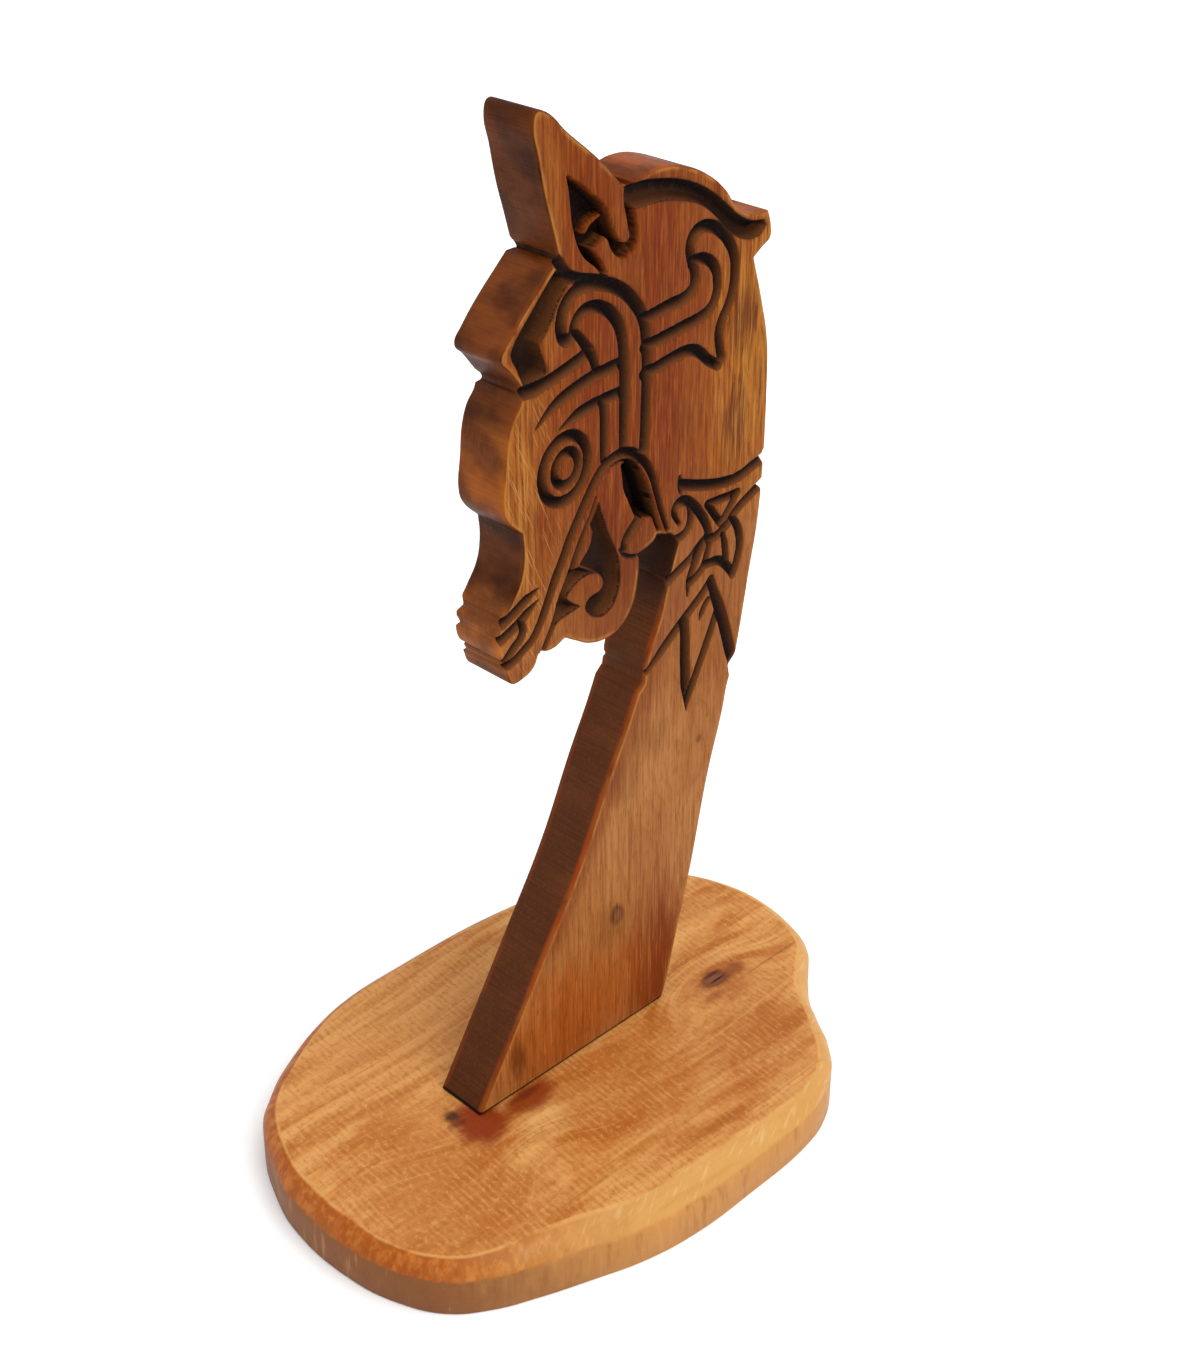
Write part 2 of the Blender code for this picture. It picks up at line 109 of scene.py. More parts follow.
# hollows, painted one over another: name, depth below the board's face in mm, how dark the stain lies in it,
# how far its wall leans in mm, points (back, up) in mm
hollows = [
    ("ear pocket", 8.5, 1.0, 1.0, [
        (55.4, 389.3, corner), (58.9, 386.8), (62.8, 384.1), (66.6, 380.9), (71, 377.3), (74, 374.3),
        (76, 370.3), (78, 365.5), (80.3, 361.5), (81.9, 359.7), (84.7, 358.9), (86.4, 360.2),
        (85.9, 364.4), (84.6, 369.8), (83.5, 375.1), (83.7, 379, corner), (85.4, 379, corner),
        (87.4, 374.7), (89.1, 368.4), (90.3, 362.6), (90.3, 358.9), (88.8, 356), (85.7, 353.7),
        (82.7, 353.7, corner), (79.6, 355.6), (77.1, 358.8), (75, 362.9), (73.8, 363.7, corner),
        (72, 362.2), (69.5, 361.1), (67.1, 360.8, corner), (69.5, 358), (72, 354.8), (74.6, 350.5, corner),
        (72.5, 350.3, corner), (69, 354.1), (65.1, 357.3), (61.9, 361.3), (59.7, 366.1), (58.1, 372.2),
        (57.2, 379.1), (56.5, 384.5)]),
    ("ridge in the ear", 2.8, 0.1, 0.5, [
        (74.1, 371.8, corner), (69.9, 370.9), (66.6, 368.9), (64.4, 366.4, corner), (66.1, 365.3, corner),
        (68.4, 367.4), (71.4, 369.2), (74.9, 370.2, corner)]),
    ("trench behind the crest", 6.5, 1.0, 2.2, [
        (49.5, 357.1, corner), (44.1, 352), (38.2, 345.5), (32.9, 340), (28.7, 334.6), (27.7, 331.9),
        (30.1, 326.4), (33, 319.6, corner), (36.1, 317.5), (41, 318.8), (44.7, 320.7, corner),
        (44.3, 323.9), (42.2, 329.3), (41.8, 332.4, corner), (44.5, 335), (47.5, 339.4), (50.7, 344.8),
        (53.7, 348.4), (56.7, 352.1, corner), (54.7, 354)]),
    ("crest channel", 5.2, 1.0, 3.0, [
        (83.4, 379.5, corner), (91, 380), (101.3, 378.8), (111.8, 376.4), (122.6, 372.1), (131, 367),
        (138.4, 361.2), (145.4, 355.4), (152.4, 351.8), (160, 350.4, corner), (161.3, 348.1, corner),
        (157.5, 344.7), (151.7, 344.5), (144.7, 346.9), (138.3, 351.9), (131.9, 357.9), (124.6, 363.4),
        (117.5, 366.5), (104.1, 369.8), (93.7, 370.3), (84.6, 370.1, corner)]),
    ("mouth", 1.0, 0.3, 0.7, [
        (41.4, 207, corner), (45.8, 218.6), (49.6, 227.9), (53.9, 236.1), (58.8, 244.6), (63.6, 252.5),
        (66.8, 259.8), (70.5, 266.8), (75.3, 271), (81.2, 273.2), (87.1, 273.4), (91.5, 269.1),
        (95.5, 262.7), (98.9, 254.4), (102.5, 245.4), (106.1, 237.6), (107.2, 231, corner),
        (95.4, 229, corner), (97, 196, corner), (41, 196, corner)]),
    ("mouth ground", 6.0, 0.97, 2.0, [
        (71.5, 260.8, corner), (73.6, 254.2), (76.9, 245.4), (80.2, 238.6), (82.2, 233.6), (83, 228),
        (83.1, 222.3), (81.4, 217.2), (78.1, 212.7), (74.2, 211.1), (69.8, 212.1), (66, 215.1),
        (64.4, 218), (65.5, 220.6), (68.2, 222), (72, 222.5), (74, 224.9), (73.1, 228.7),
        (70.4, 231.2, corner), (66.1, 234.5), (61.3, 237.8, corner), (63.4, 240.2), (66.1, 242.8),
        (67.7, 246.1), (68.5, 249.2, corner), (67, 253.1, corner), (69.9, 257.1)]),
    ("hollow beside the jaw lobe", 4.6, 1.0, 2.2, [
        (60.7, 237.3, corner), (66.6, 233.4), (69.3, 231.4, corner), (65.5, 232.1), (62.3, 231.8),
        (59.1, 230.8), (55.9, 228.6), (54.3, 226.4), (56.4, 223.7), (61.2, 220.1, corner), (57.9, 219.4),
        (53.1, 218.8), (49.4, 217.7), (46.7, 215.2, corner), (45.1, 216.7), (48.4, 222.8), (51.6, 228.1),
        (54.3, 233.1), (57, 236.3)]),
    ("throat pocket", 10.5, 1.0, 0.9, [
        (83.8, 272.1, corner), (88.1, 271.7), (92.5, 268.8), (95.4, 263.7), (98.3, 257.2), (100.3, 251.8),
        (101.8, 247), (102.4, 244.2, corner), (98.5, 245.4), (94.5, 245.7), (92.3, 246.4, corner),
        (90, 251.5), (87.8, 256.5), (85.5, 261.5), (84.9, 265.9)]),
]

# cut lines: name, width mm, depth mm, (share of the width at the start, at the end), points (back, up) in mm
cuts = [
    ("under the ear", 4.8, 3.2, (1, 1), [
        (48.9, 362.2), (51.6, 359), (55, 354.6), (59.2, 352), (66.7, 349.6), (73.7, 347.4)]),
    ("outer arch", 5.8, 3.8, (0.9, 0.9), [
        (58, 331.6), (55.9, 330), (53.4, 330.8), (51.9, 334), (52, 339), (53.9, 343.2), (57.8, 346.6),
        (64.7, 348.2), (72.7, 346.6), (81.9, 342.2), (89.2, 335.5), (94, 327.6), (95.8, 317.1),
        (96, 303.2), (95.7, 289.2), (94.9, 275.1)]),
    ("inner arch", 5.5, 3.8, (0.8, 0.8), [
        (57.6, 331), (58.9, 335.6), (62.4, 338.8), (67.7, 339.4), (73.2, 337.4), (78.4, 333), (82, 326.7),
        (83.6, 318.5), (84.2, 306.6), (83.9, 290.8), (83.4, 276.9)]),
    ("arch slant", 4.4, 3.2, (0.8, 0.9), [(59.1, 331.8), (63, 327.2), (66.6, 322.2), (70, 314)]),
    ("first sweep", 5.3, 3.6, (1, 1), [
        (32.2, 316.6), (35.8, 315.7), (46.5, 317.5), (55, 319.6), (66, 322.8)]),
    ("second sweep", 5.3, 3.5, (0.25, 1), [
        (39.2, 301), (45.4, 305.6), (51.4, 308.4), (58.9, 310.8), (66.6, 312.5), (74.2, 313.4),
        (83.2, 314)]),
    ("third sweep", 5.0, 3.3, (0.25, 1), [
        (50.9, 297), (57.4, 299.6), (63.9, 301.2), (71.7, 302), (83.5, 302.6)]),
    ("upright", 4.3, 3.0, (1, 0.8), [(73.2, 301.4), (73.4, 290), (73.2, 277.9)]),
    ("outer loop", 5.3, 3.6, (1, 0.9), [
        (95.1, 327.6), (107.4, 329.4), (118.1, 331.1), (121.2, 334), (121.2, 339.8), (119, 345.9),
        (118.7, 350.1), (120.7, 353.8), (124.7, 355.4), (129.7, 354.6), (135.2, 351.4), (140.2, 346.2),
        (143.2, 340.6), (144.1, 333.4), (143.1, 326.4), (140.8, 320.9), (137.7, 316.4), (136, 311.4),
        (136.5, 305.9), (137.8, 300.4)]),
    ("inner loop", 5.1, 3.5, (0.9, 1), [
        (119.5, 342.6), (122.7, 343.6), (127.7, 342.4), (132.2, 338.7), (134.1, 332.9), (133.5, 326.4),
        (130.3, 322.2), (125.2, 320.2), (116.7, 319.2), (108.7, 318.2), (94.5, 316.6)]),
    ("loop tail", 5.1, 3.4, (1, 0.9), [
        (94.4, 305.9), (100.7, 306.6), (107.9, 307.8), (114.5, 308.6), (121.2, 308.1), (125.7, 305.7),
        (130.3, 301.5), (136.1, 297.8)]),
    ("beside the jaw lobe", 5.4, 3.4, (1, 0.6), [
        (96.3, 249.8), (93.6, 246.3), (90.3, 243), (87.4, 240.2), (85.8, 237.6), (86, 234.8)]),
    ("under the jaw lobe", 2.2, 1.2, (0.5, 0.8), [
        (82.9, 236.8), (85.4, 233.6), (89.4, 231.2), (95.2, 230.2)]),
    ("cheek line", 4.6, 3.8, (0.8, 0.5), [
        (17.8, 209.6), (21.5, 209.4), (25.8, 210.6), (30.5, 213), (35.5, 216.1), (38.2, 219.4),
        (40.4, 222.9), (42.3, 226.5), (44.1, 230), (47.6, 237.2), (51.7, 244.2), (55.4, 251.2),
        (59.9, 258), (64.4, 264.7), (69.4, 271.3), (71.6, 273.5), (74.2, 275.3), (77.4, 276.7),
        (81.7, 277.4), (87.1, 276.5), (91.4, 274.1), (95.3, 270.3), (98.2, 266.1), (100.5, 261.1),
        (102, 256.3), (103.5, 251.5), (105, 246.7), (106.8, 241.7), (109, 236.2)]),
    ("lip line", 4.3, 3.8, (0.9, 0.4), [
        (41.4, 208.6), (43.8, 212.8), (46, 216.3), (47.9, 219.9), (50.9, 227.4), (55, 234.5),
        (58.5, 241.7), (62.2, 248.8), (65.7, 255.2), (68.1, 258.5), (70.2, 262.8)]),
    ("under the upper strand", 2.2, 3.4, (0.4, 0.8), [
        (77.4, 273.6), (81.2, 274.3), (86, 273.3), (89.8, 271), (92.6, 267.6), (95.2, 262.6),
        (97.5, 257.6), (99.2, 252.8), (101, 247.9), (102.5, 243), (104.9, 237.4)]),
    ("nostril", 4.5, 3.0, (0.2, 1), [(39, 236.5), (32.2, 233.9), (27, 231.2), (23, 229.3), (16.8, 226.9)]),
    ("upper lip fold", 4.5, 3.0, (0.2, 1), [
        (38.6, 231.5), (33.1, 228.5), (29.4, 226.2), (24.3, 223.8), (16.4, 220.9)]),
    ("lower lip fold", 4.3, 2.8, (0.7, 0.9), [
        (29.6, 226.3), (30.5, 221.9), (29.2, 218.9), (25.8, 216.2), (20, 211.3)]),
    ("collar upper", 5.0, 3.3, (1, 1), [
        (169.2, 250.5), (165.7, 249.4), (157.8, 247.5), (150.6, 245.7), (140.8, 246.2), (127.8, 249.4),
        (116.7, 253.2)]),
    ("collar end", 3.4, 2.6, (0.6, 0.6), [(115.6, 257), (116.5, 249.8)]),
    ("collar lower", 4.7, 3.2, (1, 0.9), [
        (169.2, 240.2), (165.8, 238.2), (158.5, 235.2), (152.5, 232.3), (148.3, 229.7), (144.8, 226.3),
        (140.7, 224.2), (134.5, 222.8)]),
    ("hook", 4.7, 3.2, (0.45, 0.9), [
        (115.9, 236.5), (113.9, 239.5), (112.7, 243.5), (115.1, 245.9), (119.2, 245.5), (124, 241.9),
        (128.2, 236.8), (132.1, 230.3), (133.8, 225.2), (134.2, 222.3)]),
    ("hook root", 4.1, 2.9, (0.8, 1), [
        (121.1, 243.9), (122.2, 239.9), (122.2, 235.9), (120.5, 232.5), (116.7, 230.5), (110.1, 230.9)]),
    ("long leaf", 4.3, 3.0, (0.9, 1), [
        (131.7, 224.9), (127, 221.8), (123, 218.8), (117.1, 216.2), (104.2, 210.2)]),
    ("short leaf", 4.1, 2.9, (0.9, 0.3), [
        (131.7, 223.8), (127.7, 219.2), (124.5, 213.8), (122.2, 207.7), (121.7, 201.9)]),
    ("leaf edge", 4.0, 2.9, (0.9, 0.8), [
        (134.1, 220.9), (132.6, 216.7), (130.7, 212.2), (126.2, 208.9), (122.7, 206.8)]),
    ("leaf arc", 4.5, 3.0, (0.9, 0.9), [
        (130.7, 212.2), (136.3, 212.2), (141.2, 210.8), (145.8, 206.5), (149.2, 201.8)]),
    ("leaf rib", 4.0, 2.9, (0.8, 0.9), [(142.5, 221.9), (143.8, 215.9), (144.8, 208.9)]),
    ("leaf back", 4.7, 3.0, (0.8, 0.9), [
        (147.8, 228.3), (151.5, 221.9), (152.8, 214.8), (151.6, 208.4), (149.2, 201.8)]),
    ("blade front", 4.8, 2.7, (0.9, 0.4), [
        (135.7, 204.3), (131.3, 200.2), (126.7, 196.8), (117.9, 190.7), (112, 186.4), (106.2, 181.9),
        (100.4, 177.5), (93.6, 172.6)]),
    ("blade back", 6.5, 3.4, (0.7, 0.55), [
        (135.7, 203.9), (138.5, 196), (141.5, 188.8), (144.8, 179.7), (148.2, 168.7), (150.7, 159.3),
        (151.8, 149.2)]),
    ("blade middle", 6.1, 3.4, (0.9, 0.15), [
        (120.2, 190.9), (120.8, 180.3), (121.1, 172.2), (121.6, 162.4), (122.7, 147.2)]),
    ("blade rib", 4.7, 3.2, (0.5, 0.9), [
        (122.7, 149.9), (125.2, 156.2), (129.2, 165), (133.1, 173), (136.5, 180.2), (139.5, 187.3)]),
    ("blade nick", 3.4, 2.4, (1, 0.3), [(134.1, 195.3), (131.7, 192.8), (129.3, 187.8)]),
]
rings = [
    ("eye outer ring", 4.8, 3.6, (53.2, 280.6), 12.9, 11.6, 20),
    ("eye inner ring", 4.2, 3.4, (53.9, 280.7), 6.5, 5.9, 20),
]
# the small triangle on the collar, and its cut's width and depth
triangle = [(132.2, 239.6), (150.4, 238.8), (140.5, 228.3)]
triangleCut = (3.8, 3.0)

# notches where a cut runs on round the sawn edge: place on the edge (back, up), width mm, depth mm
edgeNotches = [
    ((18.9, 227.9), 1.8, 0.5), ((18.2, 221.6), 1.8, 0.5), ((19.4, 211.6), 2.2, 0.7),
    ((165.8, 249.8), 3.6, 1.5),
    ((165.4, 238.8), 3.6, 1.4), ((50.4, 361.0), 2.4, 0.8),
]


def smoothLine(points, closed=False, steps=6):
    places = np.array([point[:2] for point in points], float)
    sharp = [corner in point for point in points]
    count = len(places)
    before = np.roll(places, 1, 0)
    after = np.roll(places, -1, 0)
    if not closed:
        before[0] = 2 * places[0] - places[1]
        after[-1] = 2 * places[-1] - places[-2]
    back = places - before
    ahead = after - places
    backLength = np.linalg.norm(back, axis=1, keepdims=True)
    aheadLength = np.linalg.norm(ahead, axis=1, keepdims=True)
    lean = ahead / aheadLength + back / backLength
    size = np.linalg.norm(lean, axis=1, keepdims=True) * 2.5614
    leftHandle = places - lean * backLength / size
    rightHandle = places + lean * aheadLength / size
    line = []
    for i in range(count if closed else count - 1):
        j = (i + 1) % count
        a, d = places[i], places[j]
        b = a + (d - a) / 3 if sharp[i] else rightHandle[i]
        c = d + (a - d) / 3 if sharp[j] else leftHandle[j]
        share = steps if not (sharp[i] and sharp[j]) else 1
        for k in range(share):
            t = k / share
            line.append((1 - t) ** 3 * a + 3 * (1 - t) ** 2 * t * b + 3 * (1 - t) * t ** 2 * c + t ** 3 * d)
    if not closed:
        line.append(places[-1])
    return np.array(line)


def nearestOnLine(places, line, closed):
    starts = line
    ends = np.roll(line, -1, 0)
    if not closed:
        starts, ends = starts[:-1], ends[:-1]
    run = ends - starts
    length2 = np.maximum((run ** 2).sum(1), 1e-9)
    lengths = np.sqrt(length2)
    reached = np.concatenate([[0], np.cumsum(lengths)])
    best = np.full(len(places), 1e9)
    along = np.zeros(len(places))
    lean = np.zeros(len(places))
    for i in range(len(starts)):
        offset = places - starts[i]
        t = np.clip((offset @ run[i]) / length2[i], 0, 1)
        back, up = offset[:, 0] - t * run[i, 0], offset[:, 1] - t * run[i, 1]
        distance = np.hypot(back, up)
        closer = distance < best
        best = np.where(closer, distance, best)
        along = np.where(closer, reached[i] + t * lengths[i], along)
        lean = np.where(closer, (back - up) / np.maximum(distance, 0.05) * 0.707, lean)
    return best, along / reached[-1], np.clip(lean, -1, 1)


def insideOf(places, line):
    inside = np.zeros(len(places), bool)
    x, y = places[:, 0], places[:, 1]
    x1, y1 = line[-1]
    for x2, y2 in line:
        crosses = (y1 > y) != (y2 > y)
        if y1 != y2:
            inside ^= crosses & (x < (x2 - x1) * (y - y1) / (y2 - y1) + x1)
        x1, y1 = x2, y2
    return inside


def near(places, line, margin):
    low, high = line.min(0) - margin, line.max(0) + margin
    return np.flatnonzero(((places >= low) & (places <= high)).all(1))


# how the carving's walls, stain and painted shade run, in mm where nothing else is said
farFromCut = 9.0
searchMargin = 4
shadeMargin = 0.8               # the shade of a wall is known this far outside it
ringSteps = 24
hollowLook = {
    "wallStart": 0.35,          # a wall and its stain start this far outside the line
    "stainFade": 0.7,
    "footShadeReach": 2.2,           # painted shade gathers along the foot of a wall
    "footShadeStrength": 0.95,
    "stainMargin": 0.4,         # the stain's crisp edge lies this far outside the line
    "floorShade": 0.22,         # share of the painted light on a hollow's floor
    "wallShade": 0.5,           # and how much a wall adds to it as painted light on one side, and takes off as painted shadow on the other
    "shadeReach": 1.7,
    "shadePerWall": 0.6,
}
cutLook = {
    "taperShare": 0.3,          # share of a cut's length over which an end narrows
    "wearReach": 0.45,          # rounding beside the cut
    "stainFade": 0.3,
    "evenShade": 0.35,          # share of the painted light, on both sides of a cut
    "leanShade": 0.65,          # and on the gentle side alone; the steep side gets painted shade instead
}


# a cut is steep on its upper left, lean -1, and gentle on its lower right, lean 1
def cutSection(ratio, lean):
    return np.clip(1 - np.abs(ratio) ** (1.9 - 0.8 * lean), 0, 1)


# the hollows in turn, each flooding what lies under it
def sinkHollows(places):
    look = hollowLook
    level = np.zeros(len(places))
    stainAndShade = np.zeros(len(places))
    edge = np.full(len(places), farFromCut)
    gentle = np.zeros(len(places))
    for name, depth, dark, wall, points in hollows:
        line = smoothLine(points, True)
        chosen = near(places, line, searchMargin)
        distance, _, lean = nearestOnLine(places[chosen], line, True)
        signed = np.where(insideOf(places[chosen], line), distance, -distance)
        share = np.clip((signed + look["wallStart"]) / wall, 0, 1)
        share = share * share * (3 - 2 * share)
        deeper = np.clip((depth - level[chosen]) / 2, 0, 1)
        flooded = np.clip((signed + look["wallStart"]) / look["stainFade"], 0, 1)
        stainAndShade[chosen] += (dark - stainAndShade[chosen]) * flooded
        # painted shade at the foot of a wall where the hollow steps down, kept with the stain
        footShade = deeper * flooded * np.exp(-np.maximum(signed, 0) / look["footShadeReach"])
        stainAndShade[chosen] = np.maximum(stainAndShade[chosen], look["footShadeStrength"] * footShade)
        level[chosen] += (depth - level[chosen]) * share
        reach = look["shadeReach"] + look["shadePerWall"] * wall
        # painted shadow along a hollow's wall on one side and painted light on the other, by how the wall
        # leans
        shade = look["floorShade"] - look["wallShade"] * lean * np.exp(-np.maximum(signed, 0) / reach)
        gentle[chosen] = np.where(signed > -shadeMargin, shade, gentle[chosen])
        if dark > 0.5:
            edge[chosen] = np.minimum(edge[chosen], -signed - look["stainMargin"])
        else:
            edge[chosen] = np.maximum(edge[chosen], signed)
    return level, stainAndShade, edge, gentle


# width, depth, ends and smooth line of every cut, and whether it closes on itself
def cutLines():
    lines = [(width, depth, ends, smoothLine(points), False) for name, width, depth, ends, points in cuts]
    for name, width, depth, centre, high, wide, lean in rings:
        turn = math.radians(lean)
        points = []
        for step in range(ringSteps):
            angle = math.tau * step / ringSteps
            a, b = wide * math.cos(angle), high * math.sin(angle)
            points.append((centre[0] + a * math.cos(turn) + b * math.sin(turn),
                           centre[1] - a * math.sin(turn) + b * math.cos(turn)))
        lines.append((width, depth, (1, 1), smoothLine(points, True, 3), True))
    lines.append((*triangleCut, (1, 1), np.array(triangle), True))
    return lines


# depth in mm under each place of the face, with what the shader reads about it
def depthField(places):
    look = cutLook
    level, stainAndShade, edge, gentle = sinkHollows(places)
    carved = np.zeros(len(places))
    wear = boardLook["lipWear"]
    for width, depth, ends, line, closed in cutLines():
        chosen = near(places, line, width / 2 + searchMargin)
        distance, along, lean = nearestOnLine(places[chosen], line, closed)
        startTaper = ends[0] + (1 - ends[0]) * np.clip(along / look["taperShare"], 0, 1)
        endTaper = ends[1] + (1 - ends[1]) * np.clip((1 - along) / look["taperShare"], 0, 1)
        narrow = startTaper * endTaper
        half = width / 2 * narrow
        here = depth * (0.35 + 0.65 * narrow) * cutSection(distance / half, lean)
        here = np.maximum(here, wear * np.exp(-np.maximum(distance - half, 0) / look["wearReach"]))
        carved[chosen] = np.maximum(carved[chosen], here)
        inside = np.clip((half - distance) / look["stainFade"] + 0.5, 0, 1)
        stainAndShade[chosen] = np.maximum(stainAndShade[chosen], inside * (0.85 + 0.15 * narrow))
        # painted light on a cut's gentle side, painted shade on its steep side
        nearest = (distance < half + shadeMargin) & (distance - half < edge[chosen])
        shade = np.clip(distance / half * (look["evenShade"] + look["leanShade"] * lean), -1, 1)
        gentle[chosen] = np.where(nearest, shade, gentle[chosen])
        edge[chosen] = np.minimum(edge[chosen], distance - half)
    carved = np.where(carved > wear * 0.05, carved, 0)
    rough = np.clip((level + carved) / 2, 0, 1) * boardLook["knife"] * (ripple(places * 4.1) - 0.5)
    return level + carved + rough, stainAndShade, edge, gentle


def newObject(name, mesh):
    made = bpy.data.objects.new(name, mesh)
    bpy.context.scene.collection.objects.link(made)
    return made


def applied(piece):
    evaluated = piece.evaluated_get(bpy.context.evaluated_depsgraph_get())
    mesh = bpy.data.meshes.new_from_object(evaluated)
    old = piece.data
    piece.modifiers.clear()
    piece.data = mesh
    mesh.name = piece.name
    bpy.data.meshes.remove(old)
    return piece


def sawnBoard():
    body = bmesh.new()
    line = smoothLine(boardOutline, True, 8) * mm
    loop = [body.verts.new((boardMiddle - halfBoard, toe.y + y, toe.z + z)) for y, z in line]
    face = body.faces.new(loop)
    grown = bmesh.ops.extrude_face_region(body, geom=[face])
    risen = [item for item in grown["geom"] if isinstance(item, bmesh.types.BMVert)]
    bmesh.ops.translate(body, verts=risen, vec=(2 * halfBoard, 0, 0))
    bmesh.ops.recalc_face_normals(body, faces=body.faces)
    rims = [edge for edge in body.edges if abs(edge.verts[0].co.x - edge.verts[1].co.x) < mm]
    bmesh.ops.bevel(body, geom=rims, offset=boardLook["edgeRound"], offset_type="OFFSET", segments=3,
                    profile=0.5, affect="EDGES", material=-1, clamp_overlap=False)
    mesh = bpy.data.meshes.new("dragon")
    body.to_mesh(mesh)
    body.free()
    return newObject("dragon", mesh)


def carveBoard(piece):
    remesh = piece.modifiers.new("fine grid", "REMESH")
    remesh.mode = "VOXEL"
    remesh.voxel_size = boardLook["voxel"]
    applied(piece)
    mesh = piece.data
    count = len(mesh.vertices)
    co = np.empty(count * 3)
    mesh.vertices.foreach_get("co", co)
    co = co.reshape(-1, 3)
    places = (co[:, 1:] - np.array([toe.y, toe.z])) / mm
    across = (co[:, 0] - boardMiddle) / mm
    halfThick = halfBoard / mm
    depth, _, _, _ = depthField(places)
    rippled = boardLook["ripple"] * ripple(places)
    limit = halfThick - depth - rippled
    side = np.sign(across)
    across = np.where(np.abs(across) > limit, side * limit, across)
    places = notchEdges(places, across, halfThick)
    co[:, 0] = boardMiddle + across * mm
    co[:, 1:] = places * mm + np.array([toe.y, toe.z])
    mesh.vertices.foreach_set("co", co.reshape(-1))
    mesh.update()
    smooth = piece.modifiers.new("worn", "SMOOTH")
    smooth.factor = 0.35
    smooth.iterations = 2
    faces = len(mesh.polygons) * 2
    if faces > boardLook["triangles"]:
        thin = piece.modifiers.new("thin out", "DECIMATE")
        thin.ratio = boardLook["triangles"] / faces
    applied(piece)
    paintBoard(piece.data)
    print("board carved:", len(piece.data.polygons), "faces")


# what the shader reads: how dark the stain lies, with painted shade at the foot of walls, the distance in mm
# to the nearest cut's edge, below 0 inside the cut, the painted light and shade on this side of a cut and
# along a hollow's walls, and the distance in mm to the board's outline
def paintBoard(mesh):
    co = np.empty(len(mesh.vertices) * 3)
    mesh.vertices.foreach_get("co", co)
    places = (co.reshape(-1, 3)[:, 1:] - np.array([toe.y, toe.z])) / mm
    _, stainAndShade, edge, gentle = depthField(places)
    rim, _, _ = nearestOnLine(places, smoothLine(boardOutline, True, 4), True)
    for name, values in (("stainAndShade", stainAndShade), ("cutEdge", edge), ("cutPaintedLight", gentle),
                         ("rimDistance", np.minimum(rim, 12))):
        mesh.attributes.new(name, "FLOAT", "POINT").data.foreach_set("value", values.astype(np.float32))


def ripple(places):
    y, z = places[:, 0], places[:, 1]
    wave = np.sin(y * 0.31 + 1.7 * np.sin(z * 0.045)) * np.sin(z * 0.12 + 1.3 * np.sin(y * 0.08))
    wave += 0.5 * np.sin(y * 0.83 + 2 * np.sin(z * 0.09)) * np.sin(z * 0.27 + 0.7)
    return np.clip(0.5 + 0.35 * wave, 0, 1)


def notchEdges(places, across, halfThick):
    line = smoothLine(boardOutline, True, 8)
    for centre, width, depth in edgeNotches:
        place = np.array(centre)
        nearby = np.flatnonzero(np.hypot(*(places - place).T) < width * 1.5)
        if not len(nearby):
            continue
        i = np.argmin(np.hypot(*(line - place).T))
        along = line[(i + 2) % len(line)] - line[i - 2]
        along = along / np.linalg.norm(along)
        outward = np.array([along[1], -along[0]])
        if insideOf((line[i] + outward * 0.5)[None], line)[0]:
            outward = -outward
        offset = places[nearby] - line[i]
        run = np.abs(offset @ along) / (width / 2)
        rise = offset @ outward
        floorLevel = -depth * cutSection(run, 0)
        lowered = np.where((run < 1) & (rise > floorLevel), floorLevel - rise, 0)
        places[nearby] += lowered[:, None] * outward
    return places


